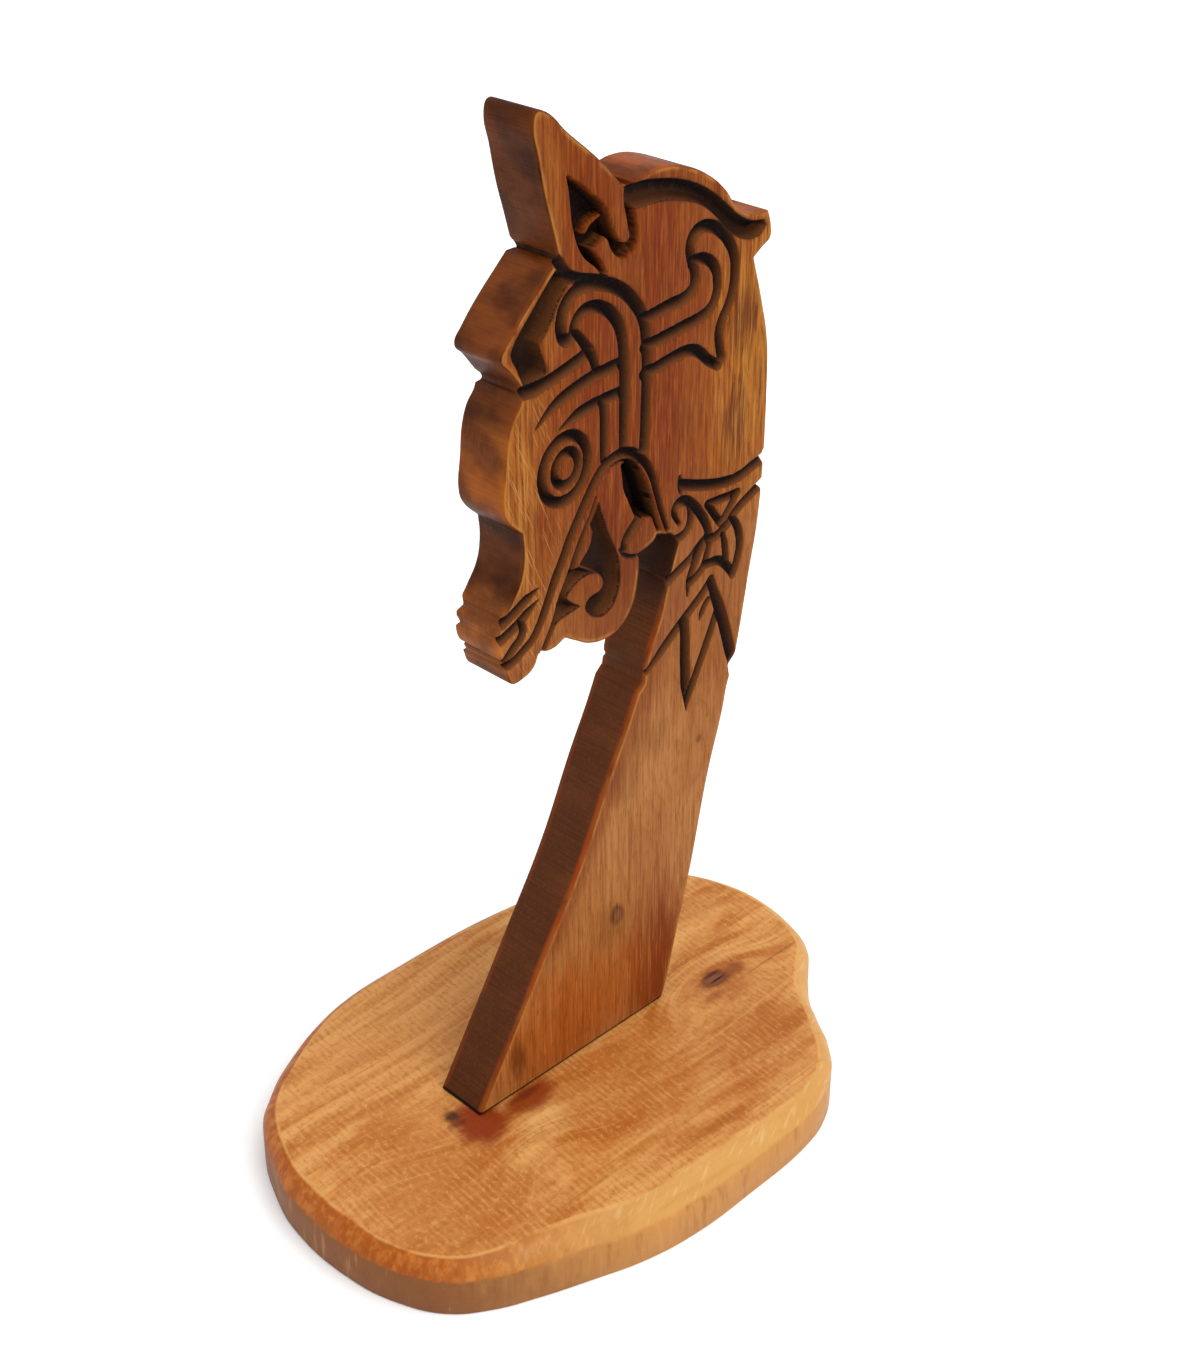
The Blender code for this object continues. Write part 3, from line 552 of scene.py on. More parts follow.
class nodeKit:
    def __init__(self, name, look=None):
        self.look = look
        self.material = bpy.data.materials.new(name)
        self.material.use_nodes = True
        self.tree = self.material.node_tree
        self.surface = self.tree.nodes["Principled BSDF"]

    def feed(self, socket, value):
        if isinstance(value, bpy.types.NodeSocket):
            self.tree.links.new(value, socket)
        elif value is not None:
            socket.default_value = value

    def add(self, kind, *values, **settings):
        node = self.tree.nodes.new("ShaderNode" + kind)
        for key, value in settings.items():
            setattr(node, key, value)
        for socket, value in zip(node.inputs, values):
            self.feed(socket, value)
        return node.outputs[0]

    def math(self, operation, *values):
        return self.add("Math", *values, operation=operation)

    def times(self, first, second):
        return self.math("MULTIPLY", first, second)

    def plus(self, first, second):
        return self.math("ADD", first, second)

    def vector(self, operation, *values):
        return self.add("VectorMath", *values, operation=operation)

    def span(self, value, low, high, start=0.0, end=1.0):
        return self.add("MapRange", value, low, high, start, end, interpolation_type="SMOOTHSTEP")

    # noise whose spots are as long as the given millimetres along each axis
    def noise(self, place, size, detail=3.0, roughness=0.5, turn=(0, 0, 0), shift=(0, 0, 0)):
        turned = self.add("Mapping", place, shift, turn, (1, 1, 1)) if any(turn) or any(shift) else place
        scaled = self.vector("MULTIPLY", turned, tuple(1 / length for length in size))
        return self.add("TexNoise", scaled, None, 1.0, detail, roughness)

    def mix(self, amount, first, second, mode="MIX"):
        node = self.tree.nodes.new("ShaderNodeMix")
        node.data_type = "RGBA"
        node.blend_type = mode
        for index, value in ((0, amount), (6, first), (7, second)):
            self.feed(node.inputs[index], value)
        return node.outputs[2]

    # a colour, or the look's colour of that name, laid over another where a mask is, by its strength
    def over(self, below, mask, strength, color, *light):
        if isinstance(color, str):
            color = tone(self.look[color], *light)
        return self.mix(self.times(mask, strength), below, color)

    def attribute(self, name):
        node = self.tree.nodes.new("ShaderNodeAttribute")
        node.attribute_name = name
        return node.outputs["Fac"]

    # millimetres from a corner or a middle of the piece
    def inMillimetres(self, origin):
        places = self.tree.nodes.new("ShaderNodeTexCoord").outputs["Object"]
        return self.add("Mapping", places, tuple(-1000 * c for c in origin), (0, 0, 0), (1000, 1000, 1000))

    # a soft round patch, 1 in its middle
    def patch(self, place, centre, size, soft, ragged):
        away = self.vector("MULTIPLY", self.vector("SUBTRACT", place, centre),
                           tuple(1 / s if s else 0 for s in size))
        length = self.tree.nodes.new("ShaderNodeVectorMath")
        length.operation = "LENGTH"
        self.tree.links.new(away, length.inputs[0])
        reach = self.math("ADD", length.outputs["Value"], ragged)
        return self.span(reach, 1 + soft, 1 - soft)

    def finish(self, color, roughness, height, specular):
        self.feed(self.surface.inputs["Base Color"], color)
        self.feed(self.surface.inputs["Roughness"], roughness)
        self.surface.inputs["Specular IOR Level"].default_value = specular
        bump = self.tree.nodes.new("ShaderNodeBump")
        bump.inputs["Distance"].default_value = mm
        self.tree.links.new(height, bump.inputs["Height"])
        self.tree.links.new(bump.outputs["Normal"], self.surface.inputs["Normal"])
        return self.material


# the colour a wood needs to look like this one in the studio's light, with its sheen taken off
def tone(color, light=1.45, sheen=0.013):
    linear = [max(((c / 255 + 0.055) / 1.055) ** 2.4 - sheen, 0.003) / light for c in color]
    return (*linear, 1)


dragonLook = {
    "neck": (176, 113, 64),           # colours as they look in the light
    "head": (150, 80, 36),
    "streak": (128, 72, 34),
    "pale": (200, 140, 84),
    "edge": (87, 53, 37),             # the stained sawn edges
    "edgeLight": (136, 80, 46),
    "worn": (194, 132, 66),           # rubbed corners
    "cutLitStain": (98, 58, 33),         # stain in the cuts, with painted light on their gentle side and painted shade on their steep side
    "cutShadedStain": (28, 18, 14),
    "pocket": (20, 13, 11),           # painted shade deep down in the pockets
    "smudge": (96, 48, 20),           # smudges, streaks and knife strokes on the faces
    "grainDark": (100, 44, 18),
    "grainLight": (176, 98, 42),
    "brightStreak": (206, 142, 70),
    "stroke": (204, 142, 80),
    "sawLine": (60, 35, 23),          # on the sawn edges
    "edgeFibre": (118, 74, 46),
    "redCorner": (150, 66, 30),
    "paleCorner": (150, 88, 44),
    "throatShade": (30, 19, 15),
    "footDarkening": (18, 11, 9),              # darker along the bottom of the foot, where it meets the slab
    "headTint": (0.86, 0.68, 0.38),   # what the head's wood takes off the light
    "napeTint": (1.06, 1.02, 0.58),
    "jawTint": (0.70, 0.52, 0.28),
    "neckTint": (0.76, 0.62, 0.46),   # about the ornament on the neck
    "glowTint": (0.68, 0.52, 0.45),   # along the neck's front corner
    "topTint": (1.25, 0.95, 0.60),    # the sawn edge over the head
    # tints of the sawn edges, from the foot up: height in mm where each begins, and where it is full
    "edgeTints": [
        (196, 202, (1.2, 1.15, 0.85)), (211, 218, (2.0, 2.0, 1.7)), (230, 240, (0.52, 0.44, 0.33)),
        (262, 272, (1.36, 1.2, 0.65)), (298, 306, (0.72, 0.62, 0.44)), (316, 326, (0.80, 0.67, 0.50)),
        (360, 368, (0.50, 0.40, 0.24)),
    ],
    "scorch": (96, 52, 26),           # stain that crept out beside the cuts
    "specular": 0.06,
    # patches on the faces: middle (back, up) and half size in mm, softness, colour, strength
    "patches": [
        ((96, 305), (33, 95), 0.55, (132, 58, 22), 0.6),
        ((138, 300), (16, 60), 0.6, (168, 98, 42), 0.64),
        ((89, 258), (7, 12), 0.6, (166, 88, 40), 0.6),
        ((72, 380), (15, 13), 0.5, (140, 70, 32), 0.7),
        ((30, 284), (10, 27), 0.6, (182, 120, 62), 0.8),
        ((34, 238), (9, 17), 0.6, (172, 108, 56), 0.7),
        ((156, 300), (11, 38), 0.5, (182, 118, 56), 0.8),
        ((150, 315), (7, 13), 0.6, (106, 58, 28), 0.85),
        ((70, 322), (12, 16), 0.6, (132, 58, 24), 0.35),
        ((147, 271), (7, 13), 0.6, (106, 58, 28), 0.9),
        ((160, 286), (2.2, 8), 0.6, (126, 72, 36), 0.6),
        ((106, 20), (17, 40), 0.6, (124, 48, 22), 0.85),
        ((50, 22), (42, 26), 0.6, (176, 88, 40), 0.8),
        ((22, 18), (5, 9), 0.6, (94, 52, 28), 0.7),
        ((78, 60), (9, 12), 0.6, (132, 78, 42), 0.55),
        ((81.4, 62.3), (3.8, 6.0), 0.35, (70, 38, 23), 0.85),
        ((81.9, 61.6), (2.3, 3.9), 0.4, (134, 86, 56), 0.8),
        ((130.9, 129.5), (1.6, 2.2), 0.5, (100, 62, 36), 0.85),
        ((101, 142), (10, 9), 0.6, (146, 92, 52), 0.6),
        ((85, 128), (10, 10), 0.6, (148, 92, 52), 0.6),
    ],
}


def dragonWood():
    look = dragonLook
    kit = nodeKit("oiledRedwood", look)
    place = kit.inMillimetres((boardMiddle, toe.y, toe.z))
    split = kit.tree.nodes.new("ShaderNodeSeparateXYZ")
    kit.tree.links.new(place, split.inputs[0])
    across, back, up = split.outputs
    depth = kit.math("SUBTRACT", halfBoard / mm, kit.math("ABSOLUTE", across))
    stainAndShadeHere = kit.attribute("stainAndShade")
    beside = kit.attribute("cutEdge")
    # painted light and shade across each cut and along a hollow's walls
    side = kit.attribute("cutPaintedLight")
    rim = kit.attribute("rimDistance")

    broad = kit.noise(place, (40, 26, 90), 2)
    streaks = kit.noise(place, (3.0, 2.2, 70), 5, 0.7)
    fibres = kit.noise(place, (1.2, 0.9, 22), 3, 0.65)
    pores = kit.noise(place, (0.7, 0.6, 6.5), 2, 0.5)
    ragged = kit.times(kit.math("SUBTRACT", kit.noise(place, (9, 4, 22), 4, 0.65), 0.5), 1.7)

    # growth lines, bent round by the broad noise
    rings = kit.plus(kit.times(back, 0.16), kit.times(broad, 9.0))
    rings = kit.plus(rings, kit.times(up, 0.008))
    lines = kit.math("FRACT", rings)
    late = kit.times(kit.span(lines, 0.45, 0.92), kit.span(lines, 1.0, 0.93))

    headShare = kit.span(up, 195, 262)
    wood = kit.mix(headShare, tone(look["neck"]), tone(look["head"]))
    wood = kit.over(wood, kit.span(broad, 0.42, 0.62), 0.35, "pale")
    for centre, size, soft, color, strength in look["patches"]:
        spot = kit.patch(place, (0, *centre), (0, *size), soft, ragged)
        wood = kit.over(wood, spot, strength, tone(color))
    wood = kit.over(wood, late, 0.22, "streak")
    for mask, low, high, strength, color in (
            (streaks, 0.5, 0.7, 0.5, "streak"),
            (streaks, 0.48, 0.28, 0.28, "pale"),
            (fibres, 0.52, 0.68, 0.48, "streak"),
            (fibres, 0.46, 0.32, 0.38, "pale"),
            (pores, 0.58, 0.68, 0.5, "streak")):
        wood = kit.over(wood, kit.span(mask, low, high), strength, color)

    # the red of the head, paler down the nape, and the browner wood about the ornament on the neck
    nape = kit.patch(place, (0, 154, 300), (0, 20, 64), 0.5, ragged)
    tint = kit.mix(headShare, (1, 1, 1, 1), (*look["headTint"], 1))
    tint = kit.mix(nape, tint, (*look["napeTint"], 1))
    tint = kit.mix(kit.patch(place, (0, 80, 228), (0, 28, 34), 0.4, 0.0), tint, (*look["jawTint"], 1))
    orn = kit.patch(place, (0, 128, 196), (0, 40, 46), 0.5, ragged)
    tint = kit.over(tint, orn, kit.span(up, 235, 205), (*look["neckTint"], 1))
    behindFront = kit.math("SUBTRACT", back, kit.times(up, 0.538))
    glow = kit.times(kit.span(kit.plus(behindFront, kit.times(ragged, 4.0)), 19, 8), kit.span(up, 222, 200))
    tint = kit.over(tint, glow, kit.span(up, 36, 70), (*look["glowTint"], 1))
    wood = kit.mix(1.0, wood, tint, "MULTIPLY")

    # smudges and crisp pale streaks along the nape and the forehead
    smudge = kit.span(kit.noise(place, (8, 1.9, 13), 3, 0.6), 0.54, 0.64)
    smudge = kit.times(smudge, kit.plus(kit.times(nape, 0.35), kit.times(headShare, 0.3)))
    wood = kit.mix(smudge, wood, tone(look["smudge"]))
    brow = kit.patch(place, (0, 28, 268), (0, 9, 60), 0.5, ragged)
    grain = kit.noise(place, (1.5, 1.1, 20), 3, 0.65, (0, 0, 0), (40, 7, 90))
    wood = kit.over(wood, kit.span(grain, 0.51, 0.64), kit.times(headShare, 0.5), "grainDark")
    wood = kit.over(wood, kit.span(grain, 0.47, 0.35), kit.times(headShare, 0.38), "grainLight")
    bright = kit.math("MAXIMUM", nape, brow)
    bright = kit.times(bright, kit.span(kit.noise(place, (8, 1.2, 34), 3, 0.6), 0.53, 0.63))
    wood = kit.over(wood, bright, 0.55, "brightStreak")

    # slanting knife strokes where the face was pared, on the forehead and the cheek
    strokes = kit.noise(place, (2, 0.75, 16), 2, 0.5, (math.radians(-24), 0, 0))
    pared = kit.patch(place, (0, 32, 262), (0, 15, 62), 0.5, ragged)
    pared = kit.times(pared, kit.span(strokes, 0.56, 0.66))
    wood = kit.over(wood, pared, 0.6, "stroke")

    # rubbed corners, on the faces and on the sawn edges
    wear = kit.times(kit.span(rim, 2.4, 0.5), kit.span(kit.noise(place, (12, 9, 14), 3), 0.36, 0.58))
    wood = kit.over(wood, wear, 0.75, "worn")

    # the sawn edges, stained dark, with saw lines across the board
    saw = kit.noise(place, (40, 0.7, 0.42), 2, 0.5)
    cloud = kit.noise(place, (30, 18, 22), 3, 0.55)
    edge = kit.mix(kit.span(cloud, 0.40, 0.66), tone(look["edge"], 1.17), tone(look["edgeLight"], 1.17))
    neckEdge = kit.span(up, 215, 195)
    edge = kit.over(edge, neckEdge, 0.85, "edge", 1.2)
    sawStrength = kit.plus(kit.times(neckEdge, 0.16), 0.16)
    edge = kit.over(edge, kit.span(saw, 0.46, 0.62), sawStrength, "sawLine", 1.2)
    edge = kit.over(edge, kit.span(fibres, 0.5, 0.7), 0.25, "edgeFibre", 1.2)
    redBand = kit.times(kit.span(depth, 3.4, 1.4), kit.span(kit.noise(place, (6, 14, 40), 3), 0.36, 0.56))
    viewed = kit.span(across, -12, -8, 0.2, 1.0)
    redBand = kit.times(kit.times(redBand, viewed), kit.times(neckEdge, kit.span(back, 112, 104)))
    edge = kit.over(edge, redBand, 0.8, "redCorner", 1.2)
    paleCorner = kit.times(kit.span(depth, 2.6, 0.4), kit.span(kit.noise(place, (5, 10, 12), 3), 0.34, 0.6))
    edge = kit.over(edge, kit.times(paleCorner, viewed), 0.6, "paleCorner", 1.3)
    tint = (1, 1, 1, 1)
    for low, high, color in look["edgeTints"]:
        tint = kit.mix(kit.span(up, low, high), tint, (*color, 1))
    tint = kit.mix(kit.span(back, 92, 84), (1, 1, 1, 1), tint)
    tint = kit.over(tint, kit.span(back, 84, 88), kit.span(up, 322, 330), (*look["topTint"], 1))
    edge = kit.mix(1.0, edge, tint, "MULTIPLY")
    edge = kit.over(edge, kit.patch(place, (0, 107, 232), (0, 12, 24), 0.5, 0.0), 0.85, "throatShade", 1.0,
                    0.003)
    sawn = kit.span(rim, 0.9, 0.35)
    wood = kit.mix(sawn, wood, edge)

    # stain in the cuts, with painted shade on their steep side and deep down, painted light on their gentle
    # side, and stain crept out beside them
    flecks = kit.noise(place, (2.2, 1.3, 1.8), 4, 0.7)
    creep = kit.times(kit.span(beside, 1.0, 0.0), kit.span(kit.noise(place, (7, 6, 8), 3), 0.42, 0.64))
    onFace = kit.math("SUBTRACT", 1.0, sawn)
    wood = kit.over(wood, kit.times(creep, onFace), 0.35, "scorch")
    # painted shade on a cut's steep side, painted light on its gentle side
    dark = kit.mix(kit.span(side, 0.0, 0.9), tone(look["cutShadedStain"], 1.0, 0.006),
                   tone(look["cutLitStain"], 1.0, 0.006))
    # painted shade deep down in the pockets, by depth
    dark = kit.over(dark, kit.span(depth, 4.9, 7.6), 0.8, "pocket", 1.0, 0.003)
    dark = kit.over(dark, kit.span(flecks, 0.56, 0.74), 0.4, "cutLitStain", 1.0, 0.006)
    inCut = kit.span(beside, 0.2, -0.2)
    sunk = kit.times(inCut, kit.times(kit.span(stainAndShadeHere, 0.0, 0.8), onFace))
    wood = kit.mix(sunk, wood, dark)
    # darker along the bottom of the foot, where it meets the slab
    footDarkening = kit.span(up, 1.7, 1.0)
    wood = kit.over(wood, footDarkening, 0.95, "footDarkening", 1.0, 0.003)

    height = kit.times(fibres, 0.10)
    height = kit.plus(height, kit.times(streaks, 0.10))
    height = kit.plus(height, kit.times(kit.times(saw, sawn), 0.16))
    height = kit.plus(height, kit.times(kit.times(flecks, sunk), 0.5))
    height = kit.plus(height, kit.times(pared, 0.06))
    rough = kit.plus(kit.span(streaks, 0.3, 0.7, 0.40, 0.52), kit.times(sunk, 0.2))
    return kit.finish(wood, rough, height, look["specular"])


slabLook = {
    "outline": [
        (-18.2, -142.4), (19, -143.1), (41.8, -137.6), (59.5, -127.7), (71, -113), (78.4, -97.7),
        (87.5, -74.5), (95.7, -50.4), (99.7, -26.6), (100.4, 3.8), (98, 49), (94.2, 61.6), (87.4, 73.6),
        (76, 85.8), (62.4, 94.8), (50.6, 103.3), (38.8, 115.8), (28, 129.3), (16.5, 136.9), (-13.9, 143.1),
        (-34.5, 140.7), (-51.2, 133.6), (-71, 119), (-87, 94), (-97, 52), (-100.3, -14), (-98.6, -49.2),
        (-91.5, -77.3), (-82.3, -97), (-69.8, -115.5), (-59.8, -125.4), (-38.7, -136.2)],
    "rimWidth": 13.0,                 # mm at its widest, on the right
    "rimDrop": 9.5,
    "narrowShare": 0.52,
    "widest": (100, -40),
    "widestReach": 85,
    "underEase": 1.0,
    "wood": (210, 138, 72),           # colours as they look in the light
    "pale": (230, 170, 102),
    "streak": (172, 97, 44),
    "rimRed": (168, 84, 34),
    "rimPale": (216, 162, 92),
    "sideGrey": (134, 87, 56),
    "sidePale": (200, 140, 80),
    "rimScratch": (246, 214, 160),
    "rimStreak": (206, 146, 78),
    "rimGlow": (198, 116, 54),
    "crease": (236, 180, 110),
    "sideDark": (112, 72, 46),
    "sideLight": (220, 166, 104),
    "sawPitch": 3.0,                  # mm between the marks of the saw
    "specular": 0.1,
    "patches": [
        ((-62, -60), (34, 60), 0.6, (222, 158, 94), 0.6),
        ((30, -96), (48, 34), 0.6, (184, 106, 48), 0.7),
        ((36, -20), (34, 60), 0.6, (186, 108, 48), 0.6),
        ((27, -42), (8, 11), 0.7, (238, 184, 116), 0.85),
        ((37, -60), (7, 10), 0.7, (234, 178, 108), 0.75),
        ((54, 62), (18, 26), 0.6, (180, 102, 50), 0.65),
        ((72, 34), (10, 22), 0.6, (190, 108, 50), 0.5),
        ((-30, 112), (12, 20), 0.6, (188, 116, 62), 0.5),
        ((18, 79), (14, 17), 0.7, (176, 94, 46), 0.7),
    ],
    # stains and knots that lie over the grain: before the toe, beside the foot, and behind it on the right
    "stains": [
        ((9, -62), (13, 11), 0.4, (138, 56, 28), 0.95),
        ((12.5, -37), (7, 14), 0.4, (142, 60, 30), 0.88),
        ((9.6, -37), (2.2, 8), 0.6, (96, 50, 32), 0.6),
        ((-2.4, -68), (3.0, 3.6), 0.6, (62, 38, 28), 0.85),
        ((2.6, -69), (2.6, 3.4), 0.6, (104, 50, 30), 0.7),
        ((14.7, 77.5), (5.2, 8.6), 0.35, (116, 62, 40), 0.9),
        ((14.6, 76.5), (3.0, 4.6), 0.4, (142, 88, 62), 0.75),
        ((15.6, 78.0), (0.6, 4.2), 0.5, (26, 15, 12), 0.95),
        ((11.4, 79.0), (0.9, 5.0), 0.5, (80, 40, 25), 0.75),
        ((15.1, 90.2), (3.6, 5.5), 0.6, (140, 68, 38), 0.75),
        ((22.6, 67.5), (2.2, 6.0), 0.6, (150, 78, 42), 0.6),
        ((22.6, 111), (0.5, 22), 0.5, (140, 80, 44), 0.5),
    ],
    "knots": [((14, 76), (14, 24), 1.6), ((4, -68), (16, 26), -1.5), ((40, -54), (14, 20), 1.1)],
}


# the slab from above and from the side: its sawn outline, a rim worn down to a crease, and a flat top
def sawnSlab():
    look = slabLook
    body = bmesh.new()
    line = smoothLine(look["outline"], True, 6)
    low, high = line.min(0), line.max(0)
    middle = (Vector(slabLow) + Vector(slabHigh)) / 2
    room = np.array([slabHigh[0] - slabLow[0], slabHigh[1] - slabLow[1]])
    line = (line - (low + high) / 2) * (room / (high - low))
    thick = slabHigh[2] - slabLow[2]
    along = np.roll(line, -1, 0) - np.roll(line, 1, 0)
    inward = np.stack([-along[:, 1], along[:, 0]], 1) / np.linalg.norm(along, axis=1, keepdims=True)
    away = np.linalg.norm(line - np.array(look["widest"]) * mm, axis=1) / (look["widestReach"] * mm)
    share = look["narrowShare"] + (1 - look["narrowShare"]) * np.maximum(0, 1 - away ** 2)
    turn = np.arange(len(line)) / len(line) * math.tau
    share = share * (1 + 0.07 * np.sin(turn * 7 + 1) + 0.05 * np.sin(turn * 13))
    width = look["rimWidth"] * mm * share
    drop = look["rimDrop"] * mm * (0.55 + 0.45 * share)
    ease = look["underEase"] * mm
    rimLayer = body.verts.layers.float.new("rim")

    def ring(inset, height, mark, previous=None):
        places = line + inward * np.reshape(inset, (-1, 1)) + np.array([middle.x, middle.y])
        heights = np.broadcast_to(height, len(line))
        made = [body.verts.new((x, y, z)) for (x, y), z in zip(places, heights)]
        for vert in made:
            vert[rimLayer] = mark
        edges = [body.edges.new((made[i - 1], made[i])) for i in range(len(made))]
        if previous:
            bmesh.ops.bridge_loops(body, edges=previous + edges)
        return edges

    base = slabLow[2]
    wave = 0.00025 * (1 + np.sin(turn * 23) * np.sin(turn * 5 + 2))
    edges = ring(ease * 1.0, base, 0.0)
    bottom = edges
    edges = ring(ease * 0.3, base + ease * 0.3, 0.0, edges)
    edges = ring(0.0, base + ease, 0.0, edges)
    edges = ring(wave * 0.5, base + thick * 0.35, 0.0, edges)
    for part in (0.0, 0.06, 0.14, 0.26, 0.42, 0.6, 0.8, 0.95):
        fall = drop * (0.42 * (1 - part) + 0.58 * (1 - part) ** 3)
        edges = ring(width * part + wave * (1 - part), base + thick - fall, part, edges)
    edges = ring(width + 0.0007, base + thick, 1.0, edges)
    edges = ring(width + 0.0045, base + thick, 1.0, edges)
    for cap in (bottom, edges):
        bmesh.ops.contextual_create(body, geom=cap)
    bmesh.ops.recalc_face_normals(body, faces=body.faces)
    for face in body.faces:
        face.smooth = True
    mesh = bpy.data.meshes.new("base")
    body.to_mesh(mesh)
    body.free()
    mesh.set_sharp_from_angle(angle=math.radians(50))
    return newObject("base", mesh)


def slabWood():
    look = slabLook
    kit = nodeKit("paleSlab", look)
    middle = (Vector(slabLow) + Vector(slabHigh)) / 2
    place = kit.inMillimetres((middle.x, middle.y, slabHigh[2]))
    split = kit.tree.nodes.new("ShaderNodeSeparateXYZ")
    kit.tree.links.new(place, split.inputs[0])
    across, along, up = split.outputs
    rim = kit.attribute("rim")
    ragged = kit.times(kit.math("SUBTRACT", kit.noise(place, (6, 16, 10), 4, 0.65), 0.5), 1.6)

    # growth lines run along the slab and bend round the knots
    broad = kit.noise(place, (70, 260, 80), 1)
    rings = kit.plus(kit.times(across, 0.085), kit.times(broad, 4.0))
    rings = kit.plus(rings, kit.times(up, 0.05))
    for centre, size, bend in look["knots"]:
        rings = kit.plus(rings, kit.times(kit.patch(place, (*centre, 0), (*size, 0), 0.95, 0.0), bend))
    lines = kit.math("FRACT", rings)
    late = kit.times(kit.span(lines, 0.3, 0.9), kit.span(lines, 1.0, 0.92))
    bent = kit.add("CombineXYZ", kit.times(rings, 11.0), along, up)
    streaks = kit.noise(bent, (2.8, 90, 5), 4, 0.6)
    fibres = kit.noise(bent, (0.7, 11, 1.2), 3, 0.6)
    blots = kit.noise(bent, (15, 60, 20), 3, 0.55)

    wood = kit.mix(kit.span(blots, 0.36, 0.64), tone(look["wood"]), tone(look["pale"]))
    wood = kit.over(wood, kit.span(blots, 0.5, 0.34), 0.7, "streak")
    for centre, size, soft, color, strength in look["patches"]:
        spot = kit.patch(place, (*centre, 0), (*size, 0), soft, ragged if min(size) > 1 else 0.0)
        wood = kit.over(wood, spot, strength, tone(color))
    wood = kit.over(wood, late, 0.30, "streak")
    wood = kit.over(wood, kit.span(streaks, 0.52, 0.74), 0.5, "streak")
    wood = kit.over(wood, kit.span(streaks, 0.47, 0.26), 0.5, "pale")

    # marks of the saw across the grain, in short dashes
    skew = kit.plus(along, kit.times(across, 0.10))
    skew = kit.plus(skew, kit.times(kit.noise(place, (60, 9, 60), 2), 5.0))
    beat = kit.math("SINE", kit.times(skew, math.tau / look["sawPitch"]))
    where = kit.times(kit.span(kit.noise(place, (30, 34, 30), 3), 0.34, 0.6),
                      kit.span(kit.noise(place, (6, 4, 6), 2), 0.34, 0.58))
    dashes = kit.times(kit.times(beat, where), kit.span(fibres, 0.3, 0.7, 0.35, 1.0))
    wood = kit.over(wood, kit.math("MAXIMUM", dashes, 0.0), 0.42, "streak")
    wood = kit.over(wood, kit.math("MAXIMUM", kit.times(dashes, -1.0), 0.0), 0.42, "pale")
    wood = kit.over(wood, kit.span(fibres, 0.5, 0.75), 0.3, "streak")
    mottle = kit.noise(place, (3.4, 2.2, 3), 4, 0.65)
    wood = kit.over(wood, kit.span(mottle, 0.52, 0.68), 0.45, "streak")
    wood = kit.over(wood, kit.span(mottle, 0.48, 0.32), 0.45, "pale")
    for centre, size, soft, color, strength in look["stains"]:
        spot = kit.patch(place, (*centre, 0), (*size, 0), soft,
                         kit.times(ragged, 0.6) if min(size) > 1 else 0.0)
        wood = kit.over(wood, spot, strength, tone(color))

    # the worn rim: red-brown at the front left, pale with scratches on the right
    rightward = kit.plus(kit.times(across, 0.707), kit.times(along, 0.707))
    right = kit.span(kit.plus(rightward, kit.times(ragged, 22.0)), -60, 45)
    scratches = kit.noise(place, (1.3, 16, 5), 2, 0.5, (0, 0, math.radians(-24)))
    pale = kit.over(tone(look["rimPale"]), kit.span(scratches, 0.54, 0.7), 0.28, "rimScratch")
    pale = kit.over(pale, kit.span(streaks, 0.5, 0.7), 0.5, "rimStreak")
    upright = kit.noise(place, (4, 4, 26), 4, 0.6)
    red = kit.mix(kit.span(upright, 0.44, 0.66), tone(look["rimRed"]), tone(look["rimGlow"]))
    band = kit.mix(right, red, pale)
    onRim = kit.times(kit.span(rim, 0.99, 0.88), 0.88)
    wood = kit.mix(onRim, wood, band)
    crease = kit.times(kit.span(rim, 0.80, 0.93), kit.span(rim, 1.0, 0.97))
    crease = kit.times(crease, kit.span(kit.noise(place, (14, 14, 8), 3), 0.36, 0.6))
    wood = kit.over(wood, crease, 0.5, "crease")

    # the upright side
    side = kit.mix(right, tone(look["sideGrey"], 1.25), tone(look["sidePale"], 1.35))
    side = kit.over(side, kit.span(upright, 0.5, 0.72), 0.45, "sideDark", 1.3)
    side = kit.over(side, kit.span(upright, 0.46, 0.28), 0.35, "sideLight", 1.35)
    onSide = kit.span(kit.plus(up, kit.times(ragged, 0.8)), -6.6, -8.4)
    wood = kit.over(wood, onSide, 0.92, side)

    height = kit.times(fibres, 0.10)
    height = kit.plus(height, kit.times(streaks, 0.14))
    height = kit.plus(height, kit.times(dashes, 0.035))
    height = kit.plus(height, kit.times(kit.times(scratches, onRim), 0.08))
    rough = kit.span(streaks, 0.3, 0.7, 0.36, 0.50)
    return kit.finish(wood, rough, height, look["specular"])


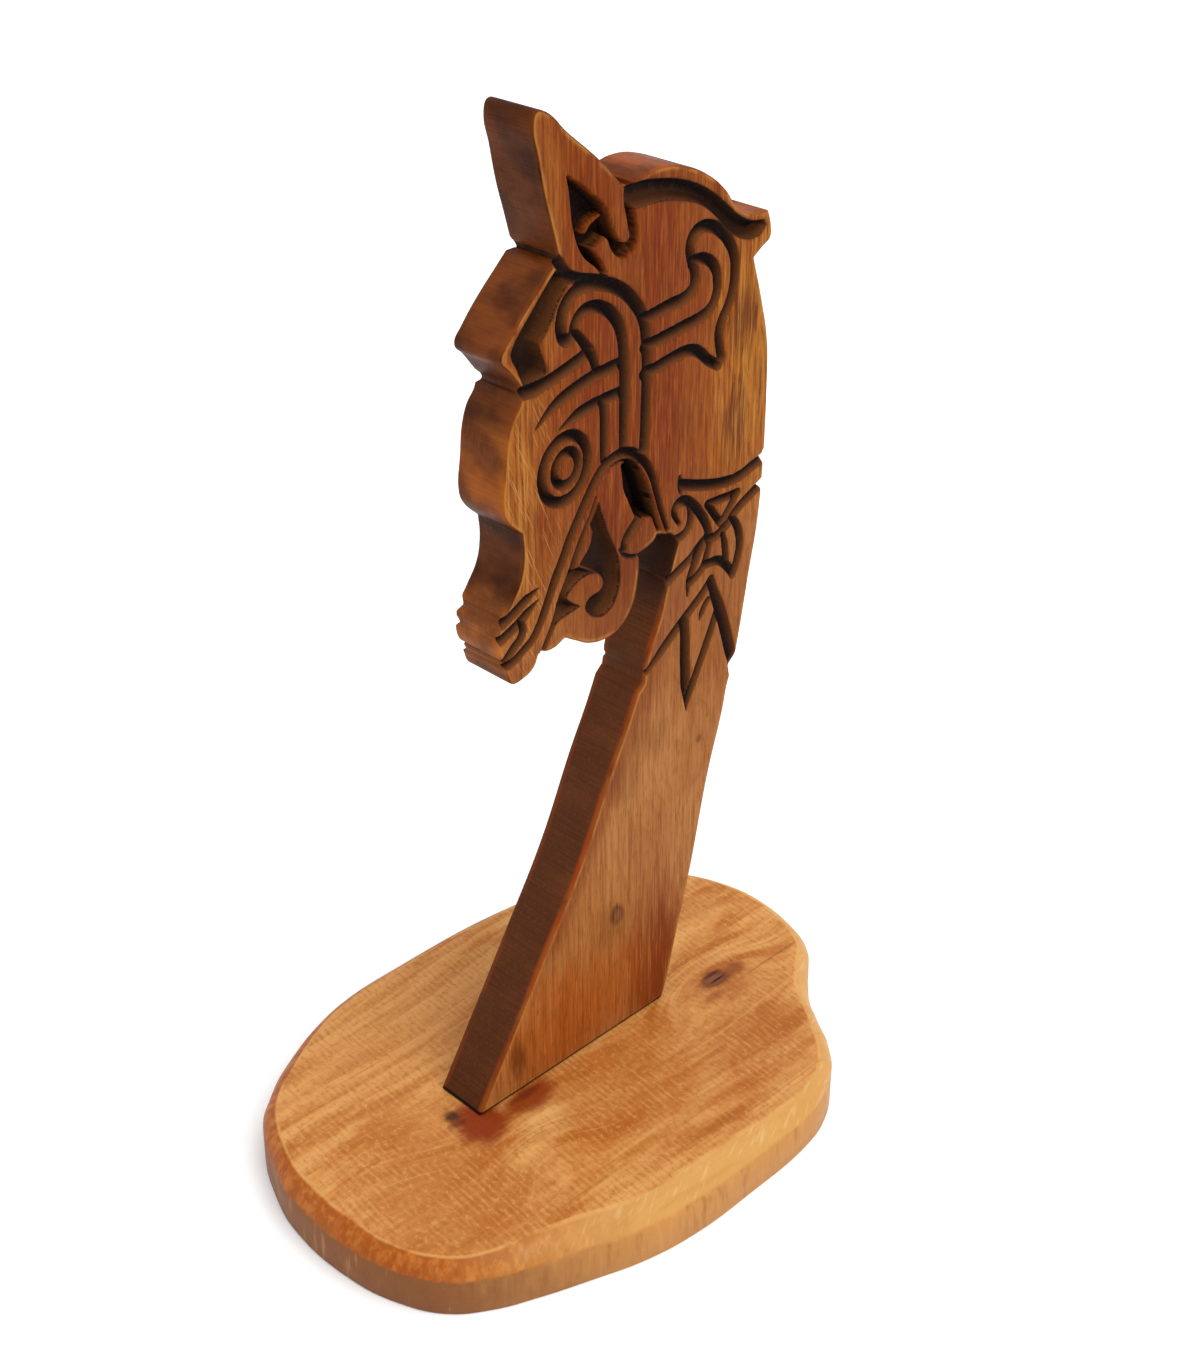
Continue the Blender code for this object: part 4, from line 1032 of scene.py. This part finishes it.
def placeCamera():
    camera = newObject("camera", bpy.data.cameras.new("camera"))
    around = Matrix.Rotation(math.radians(studio["azimuth"]), 3, "Z")
    turn = around @ Matrix.Rotation(math.radians(90 - studio["elevation"]), 3, "X")
    width, height = studio["frameSize"]
    focal = studio["lens"] / sensorSize * height
    px, py = studio["toePixel"]
    depth = studio["depth"]
    seen = Vector(((px - width / 2) / focal * depth, (height / 2 - py) / focal * depth, -depth))
    nearToe = Vector((boardHigh[0], boardLow[1], slabHigh[2]))
    camera.matrix_world = turn.to_4x4()
    camera.location = nearToe - turn @ seen
    camera.data.lens = studio["lens"]
    camera.data.sensor_width = sensorSize
    camera.data.clip_start = 0.01
    bpy.context.scene.camera = camera
    return camera


def lightStudio():
    world = bpy.data.worlds.new("studio")
    bpy.context.scene.world = world
    world.use_nodes = True
    backdrop = world.node_tree.nodes["Background"]
    backdrop.inputs[0].default_value = (1, 1, 1, 1)
    backdrop.inputs[1].default_value = studio["skyStrength"]
    sun = newObject("sun", bpy.data.lights.new("sun", "SUN"))
    sun.data.energy = studio["sunStrength"]
    sun.data.angle = math.radians(studio["sunSpread"])
    sun.rotation_euler = Vector(studio["sunFrom"]).to_track_quat("Z", "Y").to_euler()
    bpy.context.scene.view_settings.view_transform = "Standard"


def layFloor():
    body = bmesh.new()
    bmesh.ops.create_grid(body, x_segments=1, y_segments=1, size=6)
    mesh = bpy.data.meshes.new("floor")
    body.to_mesh(mesh)
    body.free()
    paper = nodeKit("studioPaper")
    shade = studio["floorTone"]
    paper.surface.inputs["Base Color"].default_value = (shade, shade, shade, 1)
    paper.surface.inputs["Roughness"].default_value = 0.9
    mesh.materials.append(paper.material)
    return newObject("floor", mesh)


placeCamera()
lightStudio()
print("camera and light set")

dragon = sawnBoard()
carveBoard(dragon)
dragon.data.shade_smooth()
dragon.data.materials.append(dragonWood())
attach(dragon, "root")
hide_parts("dragon_board")
print("dragon finished")

base = sawnSlab()
base.data.materials.append(slabWood())
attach(base, "root")
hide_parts("base_slab")
print("base finished:", len(base.data.polygons), "faces")

layFloor()
